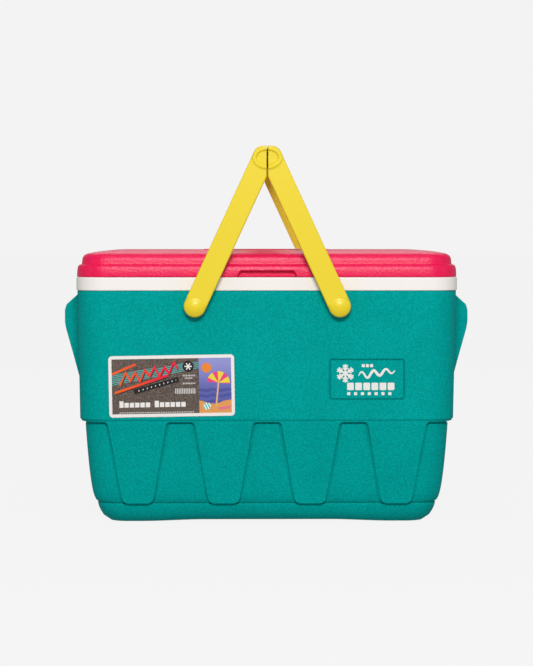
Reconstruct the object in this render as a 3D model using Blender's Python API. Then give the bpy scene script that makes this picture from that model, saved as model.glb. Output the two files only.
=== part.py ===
"""Insulated picnic cooler with a lift-off lid and two basket handles.

Units are metres, +Z is up and the front faces -Y. The origin is on the surface
that the cooler stands on, under the middle of the body.
"""

import math

import bmesh
import bpy
from mathutils import Matrix, Vector

GAP = 0.0003  # between pieces that touch
CORNER_STEPS = 5
ROUND_STEPS = 20
FRONT, REAR = -1, 1
LEFT, RIGHT = -1, 1

# Body shell. A wall profile is a list of (height, inset from the skirt's foot).
SHELL_WALL = 0.0030
SHELL_TOP = 0.2770
SHELL_TOP_HALF = (0.2260, 0.1390)
SKIRT_HALF = (0.2233, 0.1370)
SKIRT_FOOT = 0.1255
SKIRT_LIP = [(SKIRT_FOOT, 0.0), (0.1225, 0.0008), (0.1207, 0.0028)]
STEP_FOOT = (0.1195, 0.0059)
LOWER_WALL = [(0.0750, 0.0093), (0.0515, 0.0118), (0.0370, 0.0140), (0.0290, 0.0162)]
BASE_BAND = [(0.0236, 0.0192), (0.0154, 0.0219), (0.0082, 0.0263), (0.0042, 0.0300)]
FLOOR = (0.0020, 0.0350)
BODY_CORNER = 0.034
CORNER_SHRINK = 0.35  # how much of the inset the corner radius loses
SLOPE = (SHELL_TOP_HALF[1] - SKIRT_HALF[1]) / (SHELL_TOP - SKIRT_FOOT)

# Trapezoid panels on the lower wall
PANEL_PITCH = 0.1027
PANEL_TOP = 0.1195
PANEL_FOOT = 0.0226
PANEL_HALF_TOP = 0.0350
PANEL_HALF_FOOT = 0.0178
PANEL_SECTION = [
    (0.1240, 0.0010),
    (0.1240, 0.0025),
    (PANEL_TOP, 0.0070),
    (0.0750, 0.0107),
    (0.0300, 0.0173),
    (PANEL_FOOT, 0.0208),
    (PANEL_FOOT, 0.0145),
]

# Feet, as half sizes at the floor and at the tread
FOOT_CENTRE = (0.1390, 0.0710)
FOOT_TREAD = (0.0350, 0.0175)
FOOT_ROOT = (0.0450, 0.0265)

# Ears: the outline is in X and Z, the grip is hollow from below
EAR_HALF = 0.070
EAR_OUTLINE = [
    (0.2240, 0.2725),
    (0.2270, 0.2725),
    (0.2418, 0.2590),
    (0.2437, 0.2520),
    (0.2437, 0.2380),
    (0.2423, 0.2298),
    (0.2342, 0.2008),
    (0.2270, 0.1740),
    (0.2245, 0.1690),
    (0.2225, 0.1690),
]
EAR_ROUNDING = 0.0030
HAND_HALF = 0.055
HAND_LIP_FOOT = 0.2320
HAND_OUTLINE = [
    (0.2150, 0.1540),
    (0.2700, 0.1540),
    (0.2700, HAND_LIP_FOOT),
    (0.2388, HAND_LIP_FOOT),
    (0.2388, 0.2440),
    (0.2355, 0.2525),
    (0.2300, 0.2545),
    (0.2150, 0.2545),
]

# Emblem pad and label on the front wall
PAD_CENTRE = (0.1180, 0.1719)
PAD_HALF = (0.0453, 0.0249)
PAD_CORNER = 0.004
PAD_GROOVE = (0.0022, 0.0012)  # width and depth
LABEL_CENTRE = (-0.1129, 0.1646)
LABEL_HALF = (0.0743, 0.0364)
LABEL_CORNER = 0.0036
LABEL_THICKNESS = 0.0004
LABEL_TURN = math.radians(0.93)

# Inner liner
LINER_WALL = 0.0025
FLANGE_HALF = (0.2270, 0.1400)
FLANGE_FOOT = SHELL_TOP + GAP
FLANGE_TOP = 0.2930
FLANGE_PLATE = 0.0030
TUB_TOP_HALF = (0.2070, 0.1200)
TUB_FLOOR_HALF = (0.1910, 0.1040)
TUB_FLOOR = 0.0240
TUB_CORNER = 0.022
TUB_FLOOR_ROUND = 0.010

# Lid
LID_FOOT = FLANGE_TOP + GAP
LID_WALL = 0.0025
LID_TIER_HALF = (0.2263, 0.1395)
LID_TIER_TOP = 0.3078
LID_TOP_HALF = (0.2210, 0.1340)
LID_EDGE = 0.3205
LID_CROWN = 0.3250
LID_DOME = [(0.0450, LID_CROWN), (0.0270, 0.3243), (0.0130, 0.3226)]
LID_CORNER = 0.034
LID_ROUND = 0.0055
LID_PLUG_TOP_HALF = (0.2055, 0.1185)
LID_PLUG_FOOT_HALF = (0.2030, 0.1160)
LID_PLUG_FOOT = 0.2790
NOTCH_HALF_FOOT = 0.0360
NOTCH_HALF_TOP = 0.0310
NOTCH_TOP = 0.3010
NOTCH_BACK = 0.1305
NOTCH_ROOM_FOOT = 0.2840

# Foam holes and their plugs
PLUG_HOLE = 0.0110
PLUG_HEAD = 0.0145
PLUG_HEAD_THICKNESS = 0.0015

# Handles. Angles are in degrees, turned from +X towards +Z.
PIVOT = (0.0853, 0.2590)
ARM_LEAN = 24.8
ARM_HALF_WIDTH = 0.0130
ARM_INNER = 0.1425
ARM_OUTER = 0.1545
ARM_ROUNDING = 0.0015
HANDLE_TOP = 0.4474
HANDLE_TOP_ROUND = 0.012
MATING_GAP = 0.0008  # from the middle plane to each grip
GRIP_CENTRE = 0.4347
GRIP_HALF = (0.0168, 0.0125)
GRIP_CORE_HALF = 0.0080
GRIP_CORE_DEPTH = 0.0100
GRIP_RIB = 0.0040
ARM_CORE_DEPTH = 0.0080
ARM_CORE_HALF = 0.0095
ARM_CORE_ENDS = (0.0190, 0.1450)
ARM_CORES = 3
DOME_RADIUS = 0.0100
DOME_RISE = 0.0022

# Pivot hardware: distances are from the middle plane, along Y
PIN_RADIUS = 0.0050
PIN_SPAN = (0.1300, 0.1505)
PIN_GROOVE = (0.1316, 0.1333)
PIN_GROOVE_RADIUS = 0.0042
BORE_RADIUS = PIN_RADIUS + GAP
BORE_END = 0.1509
BUSH_FLANGE_RADIUS = 0.0100
BUSH_SLEEVE_RADIUS = 0.0070
BUSH_SPAN = (0.1338, 0.1407)
BUSH_FLANGE_FOOT = 0.1392
WALL_HOLE_RADIUS = BUSH_SLEEVE_RADIUS + GAP
CLIP_SPAN = (0.1318, 0.1331)
CLIP_RADIUS = 0.0090
CLIP_BORE = PIN_GROOVE_RADIUS + GAP
CLIP_SLOT = 0.0060
PIVOT_POCKET_RADIUS = 0.0120
PIVOT_POCKET_END = 0.1270


def clear_scene():
    for thing in list(bpy.data.objects):
        bpy.data.objects.remove(thing, do_unlink=True)


def make_finish(name, colour, roughness, metallic=0.0):
    finish = bpy.data.materials.new(name)
    finish.use_nodes = True
    shader = finish.node_tree.nodes["Principled BSDF"]
    shader.inputs["Base Color"].default_value = (*colour, 1.0)
    shader.inputs["Roughness"].default_value = roughness
    shader.inputs["Metallic"].default_value = metallic
    finish.diffuse_color = (*colour, 1.0)
    return finish


def solid(name, lofts, finish=None):
    """One object from lofts, each a pair (rings, closed).

    A closed loft joins its last ring to its first. Any other is capped at both ends.
    """
    form = bmesh.new()
    for rings, closed in lofts:
        rows = [[form.verts.new(point) for point in ring] for ring in rings]
        pairs = list(zip(rows, rows[1:]))
        if closed:
            pairs.append((rows[-1], rows[0]))
        for low, high in pairs:
            for here in range(len(low)):
                there = (here + 1) % len(low)
                form.faces.new((low[here], low[there], high[there], high[here]))
        if not closed:
            form.faces.new(rows[0][::-1])
            form.faces.new(rows[-1])
    bmesh.ops.recalc_face_normals(form, faces=form.faces)
    mesh = bpy.data.meshes.new(name)
    form.to_mesh(mesh)
    form.free()
    mesh.shade_smooth()
    mesh.set_sharp_from_angle(angle=math.radians(30))
    thing = bpy.data.objects.new(name, mesh)
    bpy.context.scene.collection.objects.link(thing)
    if finish:
        mesh.materials.append(finish)
    return thing


def apply_tool(target, tool, operation):
    """Joins or cuts target with tool, which is then only a helper."""
    tool.hide_render = True
    tool.display_type = "WIRE"
    change = target.modifiers.new(tool.name, "BOOLEAN")
    change.object = tool
    change.operation = operation
    change.solver = "EXACT"


def round_edges(thing, width):
    rounding = thing.modifiers.new("rounded_edges", "BEVEL")
    rounding.width = width
    rounding.segments = 2
    rounding.limit_method = "ANGLE"
    rounding.angle_limit = math.radians(40)


def arc(centre, radius, start, stop, steps):
    """Points along an arc, as (first, second) coordinates."""
    points = []
    for step in range(steps + 1):
        angle = math.radians(start + (stop - start) * step / steps)
        points.append((centre[0] + radius * math.cos(angle), centre[1] + radius * math.sin(angle)))
    return points


def rounded_outline(half, radius, steps=CORNER_STEPS):
    """A rectangle with round corners about the origin, as (first, second) coordinates."""
    outline = []
    for quarter, (side_x, side_y) in enumerate(((1, 1), (-1, 1), (-1, -1), (1, -1))):
        centre = (side_x * (half[0] - radius), side_y * (half[1] - radius))
        outline += arc(centre, radius, 90 * quarter, 90 * quarter + 90, steps)
    return outline


def level_ring(half, radius, height):
    return [Vector((x, y, height)) for x, y in rounded_outline(half, radius)]


def upright(outline, depths):
    """Rings of an outline in X and Z, one at each Y."""
    return [[Vector((x, y, z)) for x, z in outline] for y in depths]


def turned(profile, side, centre):
    """Rings about a line along Y through centre (X, Z): profile holds (radius, Y)."""
    return [
        [Vector((x, side * y, z)) for x, z in arc(centre, radius, 0, 360, ROUND_STEPS)[:-1]]
        for radius, y in profile
    ]


def shift_profile(profile, depth):
    """The (height, inset) profile moved inwards by depth, at right angles to each segment."""
    moved = []
    for here, (height, inset) in enumerate(profile):
        before = profile[max(here - 1, 0)]
        after = profile[min(here + 1, len(profile) - 1)]
        normals = []
        for low, high in ((profile[here], before), (after, profile[here])):
            run = Vector((high[0] - low[0], high[1] - low[1]))
            if run.length > 0:
                run.normalize()
                normals.append(Vector((-run.y, run.x)))
        normal = sum(normals, Vector((0, 0))) / len(normals)
        normal /= normal.length_squared
        moved.append((height + normal.x * depth, inset + normal.y * depth))
    return moved


def wall_ring(height, inset):
    """A ring of the body's wall, at an inset from the foot of the skirt."""
    half = [side - inset for side in SKIRT_HALF]
    return level_ring(half, BODY_CORNER - CORNER_SHRINK * max(inset, 0.0), height)


def inner_rings(depth, top):
    """The body's inner wall, from its floor to the top, at a depth inside the outer wall."""
    centre_of_floor = (FLOOR[0], FLOOR[1] + 0.05)
    top_inset = SKIRT_HALF[0] - SHELL_TOP_HALF[0]
    outer = [(SHELL_TOP, top_inset), SKIRT_LIP[0], STEP_FOOT, *LOWER_WALL[:-1], BASE_BAND[-1], FLOOR]
    moved = shift_profile([*outer, centre_of_floor], depth)[:-1]
    moved[0] = (top, top_inset + depth)
    return [wall_ring(height, inset) for height, inset in reversed(moved)]


def wall_y(height):
    """How far the front wall's skirt is from the middle plane."""
    return SKIRT_HALF[1] + SLOPE * (height - SKIRT_FOOT)


def on_front_wall(outline, centre, proud, turn=0.0):
    """An outline laid on the front skirt, standing proud of it by a distance."""
    height = centre[1]
    place = Matrix.Translation((centre[0], -wall_y(height), height))
    place @= Matrix.Rotation(math.atan(SLOPE), 4, "X") @ Matrix.Rotation(-turn, 4, "Y")
    return [place @ Vector((x, -proud, z)) for x, z in outline]


def panel_lofts():
    """The panels on all four walls, each a loft from one side to the other."""
    walls = [(angle, SKIRT_HALF[1], (-1.5, -0.5, 0.5, 1.5)) for angle in (0, 180)]
    walls += [(angle, SKIRT_HALF[0], (0,)) for angle in (90, 270)]
    widening = (PANEL_HALF_TOP - PANEL_HALF_FOOT) / (PANEL_TOP - PANEL_FOOT)
    lofts = []
    for angle, distance, places in walls:
        turn = Matrix.Rotation(math.radians(angle), 4, "Z")
        for place in places:
            rings = []
            for side in (LEFT, RIGHT):
                ring = []
                for height, inset in PANEL_SECTION:
                    half = PANEL_HALF_FOOT + widening * (height - PANEL_FOOT)
                    along = place * PANEL_PITCH + side * half
                    ring.append(turn @ Vector((along, inset - distance, height)))
                rings.append(ring)
            lofts.append((rings, False))
    return lofts


def foot_lofts():
    lofts = []
    for side_x in (LEFT, RIGHT):
        for side_y in (FRONT, REAR):
            centre = Vector((side_x * FOOT_CENTRE[0], side_y * FOOT_CENTRE[1], 0))
            rings = []
            for half, height in ((FOOT_TREAD, 0.0), (FOOT_ROOT, FLOOR[0]), (FOOT_ROOT, FLOOR[0] + 0.001)):
                rings.append([centre + point for point in level_ring(half, 0.014, height)])
            lofts.append((rings, False))
    return lofts


def make_ear(side):
    name = "ear_left" if side == LEFT else "ear_right"
    outline = [(side * x, z) for x, z in EAR_OUTLINE]
    ear = solid(name, [(upright(outline, (-EAR_HALF, EAR_HALF)), False)])
    round_edges(ear, EAR_ROUNDING)
    hollow = [(side * x, z) for x, z in HAND_OUTLINE]
    hand = solid(name + "_hand_room", [(upright(hollow, (-HAND_HALF, HAND_HALF)), False)])
    apply_tool(ear, hand, "DIFFERENCE")
    return ear


def make_body_shell(finish):
    outer = [FLOOR, *reversed(BASE_BAND), *reversed(LOWER_WALL), STEP_FOOT, *reversed(SKIRT_LIP)]
    rings = [wall_ring(height, inset) for height, inset in outer]
    rings.append(level_ring(SHELL_TOP_HALF, BODY_CORNER, SHELL_TOP))
    rings += reversed(inner_rings(SHELL_WALL, SHELL_TOP))
    shell = solid("body_shell", [(rings, False)], finish)
    apply_tool(shell, solid("wall_panels", panel_lofts()), "UNION")
    apply_tool(shell, solid("corner_feet", foot_lofts()), "UNION")
    for side in (LEFT, RIGHT):
        apply_tool(shell, make_ear(side), "UNION")
    across = [(WALL_HOLE_RADIUS, -ARM_OUTER), (WALL_HOLE_RADIUS, ARM_OUTER)]
    holes = [(turned(across, REAR, (side * PIVOT[0], PIVOT[1])), False) for side in (LEFT, RIGHT)]
    apply_tool(shell, solid("pivot_holes", holes), "DIFFERENCE")
    below = level_round(PLUG_HOLE, (-0.01, FLOOR[0] + 2 * SHELL_WALL))
    apply_tool(shell, solid("base_foam_hole", [(below, False)]), "DIFFERENCE")
    width, depth = PAD_GROOVE
    inside = [side - width for side in PAD_HALF]
    edges = [rounded_outline(PAD_HALF, PAD_CORNER), rounded_outline(inside, PAD_CORNER - width)]
    groove = [
        on_front_wall(edge, PAD_CENTRE, proud)
        for edge, proud in ((edges[0], 0.002), (edges[0], -depth), (edges[1], -depth), (edges[1], 0.002))
    ]
    apply_tool(shell, solid("pad_groove", [(groove, True)]), "DIFFERENCE")
    return shell


def level_round(radius, heights):
    """Rings of one radius about the Z axis."""
    return [[Vector((x, y, z)) for x, y in arc((0, 0), radius, 0, 360, ROUND_STEPS)[:-1]] for z in heights]


def make_inner_liner(finish):
    tub_round = [side + TUB_FLOOR_ROUND * 0.3 for side in TUB_FLOOR_HALF]
    floor_half = [side - TUB_FLOOR_ROUND * 0.7 for side in TUB_FLOOR_HALF]
    skirt = [side - LINER_WALL for side in FLANGE_HALF]
    edge = [side - 0.001 for side in FLANGE_HALF]
    back = LINER_WALL
    rings = [
        level_ring([side - TUB_FLOOR_ROUND * 1.6 for side in TUB_FLOOR_HALF], TUB_CORNER * 0.6, TUB_FLOOR),
        level_ring(floor_half, TUB_CORNER * 0.8, TUB_FLOOR + TUB_FLOOR_ROUND * 0.12),
        level_ring(tub_round, TUB_CORNER, TUB_FLOOR + TUB_FLOOR_ROUND),
        level_ring(TUB_TOP_HALF, TUB_CORNER, FLANGE_TOP),
        level_ring(edge, BODY_CORNER - 0.001, FLANGE_TOP),
        level_ring(FLANGE_HALF, BODY_CORNER, FLANGE_TOP - 0.001),
        level_ring(FLANGE_HALF, BODY_CORNER, FLANGE_FOOT),
        level_ring(skirt, BODY_CORNER - LINER_WALL, FLANGE_FOOT),
        level_ring(skirt, BODY_CORNER - LINER_WALL, FLANGE_TOP - FLANGE_PLATE),
        level_ring([side + back for side in TUB_TOP_HALF], TUB_CORNER + back, FLANGE_TOP - FLANGE_PLATE),
        level_ring([side + back for side in tub_round], TUB_CORNER + back, TUB_FLOOR + TUB_FLOOR_ROUND),
        level_ring([side + back for side in floor_half], TUB_CORNER, TUB_FLOOR - back * 0.6),
        level_ring([side + back - TUB_FLOOR_ROUND for side in floor_half], TUB_CORNER * 0.8, TUB_FLOOR - back),
    ]
    return solid("inner_liner", [(rings, False)], finish)


def make_body_foam(finish):
    back = LINER_WALL + GAP
    room = [side + back for side in TUB_FLOOR_HALF]
    floor_half = [side - TUB_FLOOR_ROUND * 0.5 for side in room]
    collar = [side - LINER_WALL - GAP for side in FLANGE_HALF]
    under_flange = FLANGE_TOP - FLANGE_PLATE - GAP
    neck = [side - SHELL_WALL - GAP for side in SHELL_TOP_HALF]
    rings = inner_rings(SHELL_WALL + GAP, SHELL_TOP)
    rings += [
        level_ring(neck, BODY_CORNER - SHELL_WALL - GAP, SHELL_TOP + 2 * GAP),
        level_ring(collar, BODY_CORNER - LINER_WALL - GAP, SHELL_TOP + 0.002),
        level_ring(collar, BODY_CORNER - LINER_WALL - GAP, under_flange),
        level_ring([side + back for side in TUB_TOP_HALF], TUB_CORNER + back, under_flange),
        level_ring([side + TUB_FLOOR_ROUND * 0.3 for side in room], TUB_CORNER + back, TUB_FLOOR + TUB_FLOOR_ROUND),
        level_ring(floor_half, TUB_CORNER + back, TUB_FLOOR - back),
    ]
    foam = solid("body_foam", [(rings, False)], finish)
    pockets = []
    for side_x in (LEFT, RIGHT):
        for side_y in (FRONT, REAR):
            centre = (side_x * PIVOT[0], PIVOT[1])
            profile = [(PIVOT_POCKET_RADIUS, PIVOT_POCKET_END), (PIVOT_POCKET_RADIUS, ARM_INNER)]
            pockets.append((turned(profile, side_y, centre), False))
    apply_tool(foam, solid("pivot_pockets", pockets), "DIFFERENCE")
    well = level_round(PLUG_HEAD + GAP, (-0.01, FLOOR[0] + 2 * SHELL_WALL + 0.001))
    apply_tool(foam, solid("base_plug_well", [(well, False)]), "DIFFERENCE")
    return foam


def plug_rings(face, inward, length):
    """A headed plug on the Z axis: its head lies on face, its stem runs inward (+1 or -1)."""
    head = [face - inward * (GAP + PLUG_HEAD_THICKNESS), face - inward * GAP]
    stem = PLUG_HOLE - GAP
    return [
        *level_round(PLUG_HEAD - 0.0007, head[:1]),
        *level_round(PLUG_HEAD, [head[0] + inward * 0.0007, head[1]]),
        *level_round(stem, [head[1], face + inward * length]),
    ]


def dome_rings(half, corner, below):
    """The lid's domed top, from the middle outwards, at a distance below its outside."""
    return [level_ring([side - inset for side in half], corner - 0.3 * inset, top - below) for inset, top in LID_DOME]


def make_lid_shell(finish):
    wall = LID_WALL
    tier_in = [side - wall for side in LID_TIER_HALF]
    top_in = [side - wall for side in LID_TOP_HALF]
    corner = LID_CORNER - wall
    upper = LID_CORNER - 0.005
    shoulder = [side - 0.0012 for side in LID_TIER_HALF]
    rings = dome_rings(LID_TOP_HALF, upper, 0.0)
    rings += [
        level_ring([side - LID_ROUND for side in LID_TOP_HALF], upper - LID_ROUND * 0.6, LID_EDGE),
        level_ring([side - LID_ROUND * 0.3 for side in LID_TOP_HALF], upper, LID_EDGE - LID_ROUND * 0.3),
        level_ring(LID_TOP_HALF, upper, LID_EDGE - LID_ROUND),
        level_ring(LID_TOP_HALF, upper, LID_TIER_TOP + 0.0002),
        level_ring(shoulder, LID_CORNER - 0.001, LID_TIER_TOP),
        level_ring(LID_TIER_HALF, LID_CORNER, LID_TIER_TOP - 0.0012),
        level_ring(LID_TIER_HALF, LID_CORNER, LID_FOOT),
        level_ring(tier_in, corner, LID_FOOT),
        level_ring(tier_in, corner, LID_TIER_TOP - wall),
        level_ring(top_in, upper - wall, LID_TIER_TOP),
        level_ring(top_in, upper - wall, LID_EDGE - LID_ROUND),
        level_ring([side - 0.003 for side in top_in], upper - wall, LID_EDGE - wall - 0.0004),
        *reversed(dome_rings(top_in, upper - wall, wall)),
    ]
    shell = solid("lid_shell", [(rings, False)], finish)
    apply_tool(shell, solid("notch_wells", notch_lofts(LID_WALL, LID_TIER_HALF[1] - 0.001)), "UNION")
    apply_tool(shell, solid("finger_notches", notch_lofts(0.0, LID_TIER_HALF[1] + 0.004)), "DIFFERENCE")
    return shell


def notch_lofts(around, mouth):
    """Both finger notches, grown by a distance all around, from their back out to mouth."""
    lofts = []
    foot = LID_FOOT if around else LID_FOOT - 0.002
    outline = [
        (-NOTCH_HALF_FOOT - around, foot),
        (NOTCH_HALF_FOOT + around, foot),
        (NOTCH_HALF_TOP + around, NOTCH_TOP + around),
        (-NOTCH_HALF_TOP - around, NOTCH_TOP + around),
    ]
    for side in (FRONT, REAR):
        lofts.append((upright(outline, (side * mouth, side * (NOTCH_BACK - around))), False))
    return lofts


def notch_room():
    """Room for the notch wells, cut from what is behind them."""
    around = LID_WALL + GAP
    outline = [
        (-NOTCH_HALF_FOOT - around - GAP, NOTCH_ROOM_FOOT),
        (NOTCH_HALF_FOOT + around + GAP, NOTCH_ROOM_FOOT),
        (NOTCH_HALF_FOOT + around, LID_FOOT),
        (NOTCH_HALF_TOP + around, NOTCH_TOP + around),
        (-NOTCH_HALF_TOP - around, NOTCH_TOP + around),
        (-NOTCH_HALF_FOOT - around, LID_FOOT),
    ]
    reach = LID_TIER_HALF[1] + 0.004
    return [(upright(outline, (side * reach, side * (NOTCH_BACK - around))), False) for side in (FRONT, REAR)]


def make_lid_liner(finish):
    wall = LINER_WALL
    flange = [side - LID_WALL - GAP for side in LID_TIER_HALF]
    foot = LID_FOOT + GAP
    rings = [
        level_ring([side - 0.003 for side in LID_PLUG_FOOT_HALF], TUB_CORNER - 0.003, LID_PLUG_FOOT),
        level_ring(LID_PLUG_FOOT_HALF, TUB_CORNER, LID_PLUG_FOOT + 0.003),
        level_ring(LID_PLUG_TOP_HALF, TUB_CORNER, foot),
        level_ring(flange, LID_CORNER - LID_WALL, foot),
        level_ring(flange, LID_CORNER - LID_WALL, foot + wall),
        level_ring([side - wall for side in LID_PLUG_TOP_HALF], TUB_CORNER - wall, foot + wall),
        level_ring([side - wall for side in LID_PLUG_FOOT_HALF], TUB_CORNER - wall, LID_PLUG_FOOT + 0.004),
        level_ring([side - 0.005 for side in LID_PLUG_FOOT_HALF], TUB_CORNER - 0.005, LID_PLUG_FOOT + wall),
    ]
    liner = solid("lid_liner", [(rings, False)], finish)
    apply_tool(liner, solid("liner_notch_room", notch_room()), "DIFFERENCE")
    hole = level_round(PLUG_HOLE, (LID_PLUG_FOOT - 0.01, LID_PLUG_FOOT + 0.01))
    apply_tool(liner, solid("lid_foam_hole", [(hole, False)]), "DIFFERENCE")
    return liner


def make_lid_foam(finish):
    wall = LINER_WALL + GAP
    foot = LID_FOOT + GAP + wall
    collar = [side - LID_WALL - GAP for side in LID_TIER_HALF]
    top = [side - LID_WALL - GAP for side in LID_TOP_HALF]
    upper = LID_CORNER - 0.005 - LID_WALL - GAP
    rings = [
        level_ring([side - 0.006 for side in LID_PLUG_FOOT_HALF], TUB_CORNER - 0.006, LID_PLUG_FOOT + wall),
        level_ring([side - wall for side in LID_PLUG_FOOT_HALF], TUB_CORNER - wall, LID_PLUG_FOOT + 0.0055),
        level_ring([side - wall for side in LID_PLUG_TOP_HALF], TUB_CORNER - wall, foot),
        level_ring(collar, LID_CORNER - LID_WALL - GAP, foot),
        level_ring(collar, LID_CORNER - LID_WALL - GAP, LID_TIER_TOP - LID_WALL - GAP),
        level_ring(top, upper, LID_TIER_TOP - GAP),
        level_ring(top, upper, LID_EDGE - LID_ROUND - GAP),
        level_ring([side - 0.004 for side in top], upper, LID_EDGE - LID_WALL - 0.0012),
        *reversed(dome_rings([side - 0.002 for side in top], upper, LID_WALL + 2 * GAP)),
    ]
    foam = solid("lid_foam", [(rings, False)], finish)
    apply_tool(foam, solid("foam_notch_room", notch_room()), "DIFFERENCE")
    well = level_round(PLUG_HEAD, (LID_PLUG_FOOT, LID_PLUG_FOOT + 2 * LINER_WALL + 0.001))
    apply_tool(foam, solid("lid_plug_well", [(well, False)]), "DIFFERENCE")
    return foam


def arm_outline():
    """The right-hand arm in X and Z: round at its pivot, square against its neighbour at the top."""
    inner, outer = ARM_LEAN, 180.0 + ARM_LEAN
    toe = arc(PIVOT, ARM_HALF_WIDTH, outer, outer + 180, 14)
    heel = toe[0]
    lean = math.radians(ARM_LEAN)
    reach = (heel[0] - MATING_GAP) / math.sin(lean)
    throat = (MATING_GAP, heel[1] + reach * math.cos(lean))
    back = toe[-1]
    rise = (HANDLE_TOP - back[1]) / math.cos(lean)
    corner_x = back[0] - rise * math.sin(lean)
    inset = HANDLE_TOP_ROUND * math.tan(math.radians(90 - ARM_LEAN) / 2)
    shoulder = arc((corner_x - inset, HANDLE_TOP - HANDLE_TOP_ROUND), HANDLE_TOP_ROUND, inner, 90, 5)
    return [*toe, *shoulder, (MATING_GAP, HANDLE_TOP), throat]


def arm_cores(side_x, side_y):
    """Cored-out rooms on the arm's inner face, with ribs between them."""
    lean = math.radians(ARM_LEAN)
    along = Vector((-math.sin(lean), math.cos(lean)))
    across = Vector((math.cos(lean), math.sin(lean)))
    start, stop = ARM_CORE_ENDS
    length = (stop - start - GRIP_RIB * (ARM_CORES - 1)) / ARM_CORES
    lofts = []
    for number in range(ARM_CORES):
        low = start + number * (length + GRIP_RIB)
        outline = []
        for reach, width in ((low, -1), (low, 1), (low + length, 1), (low + length, -1)):
            point = Vector(PIVOT) + along * reach + across * (width * ARM_CORE_HALF)
            outline.append((side_x * point.x, point.y))
        depths = (side_y * (ARM_INNER - 0.002), side_y * (ARM_INNER + ARM_CORE_DEPTH))
        lofts.append((upright(outline, depths), False))
    return lofts


def make_handle(side, finish, hang):
    """A U-shaped handle: two arms joined by a D-shaped grip."""
    name = "left_handle" if side == LEFT else "right_handle"
    outline = [(side * x, z) for x, z in arm_outline()]
    handle = solid(name, [(upright(outline, (-ARM_OUTER, -ARM_INNER)), False)], finish)
    round_edges(handle, ARM_ROUNDING)
    rear = solid(name + "_rear_arm", [(upright(outline, (ARM_INNER, ARM_OUTER)), False)])
    round_edges(rear, ARM_ROUNDING)
    apply_tool(handle, rear, "UNION")
    steps = 16
    half_oval = []
    for step in range(steps + 1):
        angle = math.radians(-90 + 180 * step / steps)
        x = MATING_GAP + GRIP_HALF[0] * math.cos(angle)
        half_oval.append((side * x, GRIP_CENTRE + GRIP_HALF[1] * math.sin(angle)))
    reach = ARM_INNER + 0.003
    grip = solid(name + "_grip", [(upright(half_oval, (-reach, reach)), False)])
    apply_tool(handle, grip, "UNION")
    cores = [*arm_cores(side, FRONT), *arm_cores(side, REAR)]
    bay = (2 * ARM_INNER - 4 * GRIP_RIB) / 3
    for number in (-1, 0, 1):
        middle = number * (bay + GRIP_RIB)
        core = [
            (side * (MATING_GAP - 0.0015), GRIP_CENTRE - GRIP_CORE_HALF),
            (side * GRIP_CORE_DEPTH, GRIP_CENTRE - GRIP_CORE_HALF),
            (side * GRIP_CORE_DEPTH, GRIP_CENTRE + GRIP_CORE_HALF),
            (side * (MATING_GAP - 0.0015), GRIP_CENTRE + GRIP_CORE_HALF),
        ]
        cores.append((upright(core, (middle - bay / 2, middle + bay / 2)), False))
    centre = (side * PIVOT[0], PIVOT[1])
    for side_y in (FRONT, REAR):
        bore = [(BORE_RADIUS, ARM_INNER - 0.002), (BORE_RADIUS, BORE_END)]
        cores.append((turned(bore, side_y, centre), False))
    apply_tool(handle, solid(name + "_cores", cores), "DIFFERENCE")
    domes = []
    for side_y in (FRONT, REAR):
        low = ARM_OUTER - 0.0015
        dome = [(DOME_RADIUS, low), (DOME_RADIUS, ARM_OUTER + 0.0002)]
        for lift in (30, 60, 85):
            turn = math.radians(lift)
            dome.append((DOME_RADIUS * math.cos(turn), ARM_OUTER + DOME_RISE * math.sin(turn)))
        domes.append((turned(dome, side_y, centre), False))
    apply_tool(handle, solid(name + "_domes", domes), "UNION")
    hang(handle)
    return handle


def make_pivot_set(side_x, side_y, finishes, hang):
    """Bush, pin and clip of one pivot. The bush stays in the body, the others turn with the handle."""
    place = f"{'left' if side_x == LEFT else 'right'}_{'front' if side_y == FRONT else 'rear'}"
    centre = (side_x * PIVOT[0], PIVOT[1])
    bush = [
        (BORE_RADIUS, BUSH_SPAN[0]),
        (BUSH_SLEEVE_RADIUS, BUSH_SPAN[0]),
        (BUSH_SLEEVE_RADIUS, BUSH_FLANGE_FOOT),
        (BUSH_FLANGE_RADIUS, BUSH_FLANGE_FOOT),
        (BUSH_FLANGE_RADIUS, BUSH_SPAN[1]),
        (BORE_RADIUS, BUSH_SPAN[1]),
    ]
    solid("pivot_bush_" + place, [(turned(bush, side_y, centre), True)], finishes["bush"])
    pin = [
        (PIN_RADIUS - 0.0008, PIN_SPAN[0]),
        (PIN_RADIUS, PIN_SPAN[0] + 0.0008),
        (PIN_RADIUS, PIN_GROOVE[0]),
        (PIN_GROOVE_RADIUS, PIN_GROOVE[0]),
        (PIN_GROOVE_RADIUS, PIN_GROOVE[1]),
        (PIN_RADIUS, PIN_GROOVE[1]),
        (PIN_RADIUS, PIN_SPAN[1] - 0.0008),
        (PIN_RADIUS - 0.0008, PIN_SPAN[1]),
    ]
    hang(solid("pivot_pin_" + place, [(turned(pin, side_y, centre), False)], finishes["steel"]))
    half_gap = math.degrees(math.asin(CLIP_SLOT / 2 / CLIP_RADIUS))
    outline = arc(centre, CLIP_RADIUS, 270 + half_gap, 630 - half_gap, 28)
    inner_gap = math.degrees(math.asin(CLIP_SLOT / 2 / CLIP_BORE))
    outline += arc(centre, CLIP_BORE, 630 - inner_gap, 270 + inner_gap, 20)
    span = [side_y * y for y in CLIP_SPAN]
    hang(solid("pin_clip_" + place, [(upright(outline, span), False)], finishes["steel"]))


def make_front_label(finish):
    outline = rounded_outline(LABEL_HALF, LABEL_CORNER, 4)
    depths = (GAP, GAP + LABEL_THICKNESS)
    rings = [on_front_wall(outline, LABEL_CENTRE, depth, LABEL_TURN) for depth in depths]
    return solid("front_label", [(rings, False)], finish)


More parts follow.
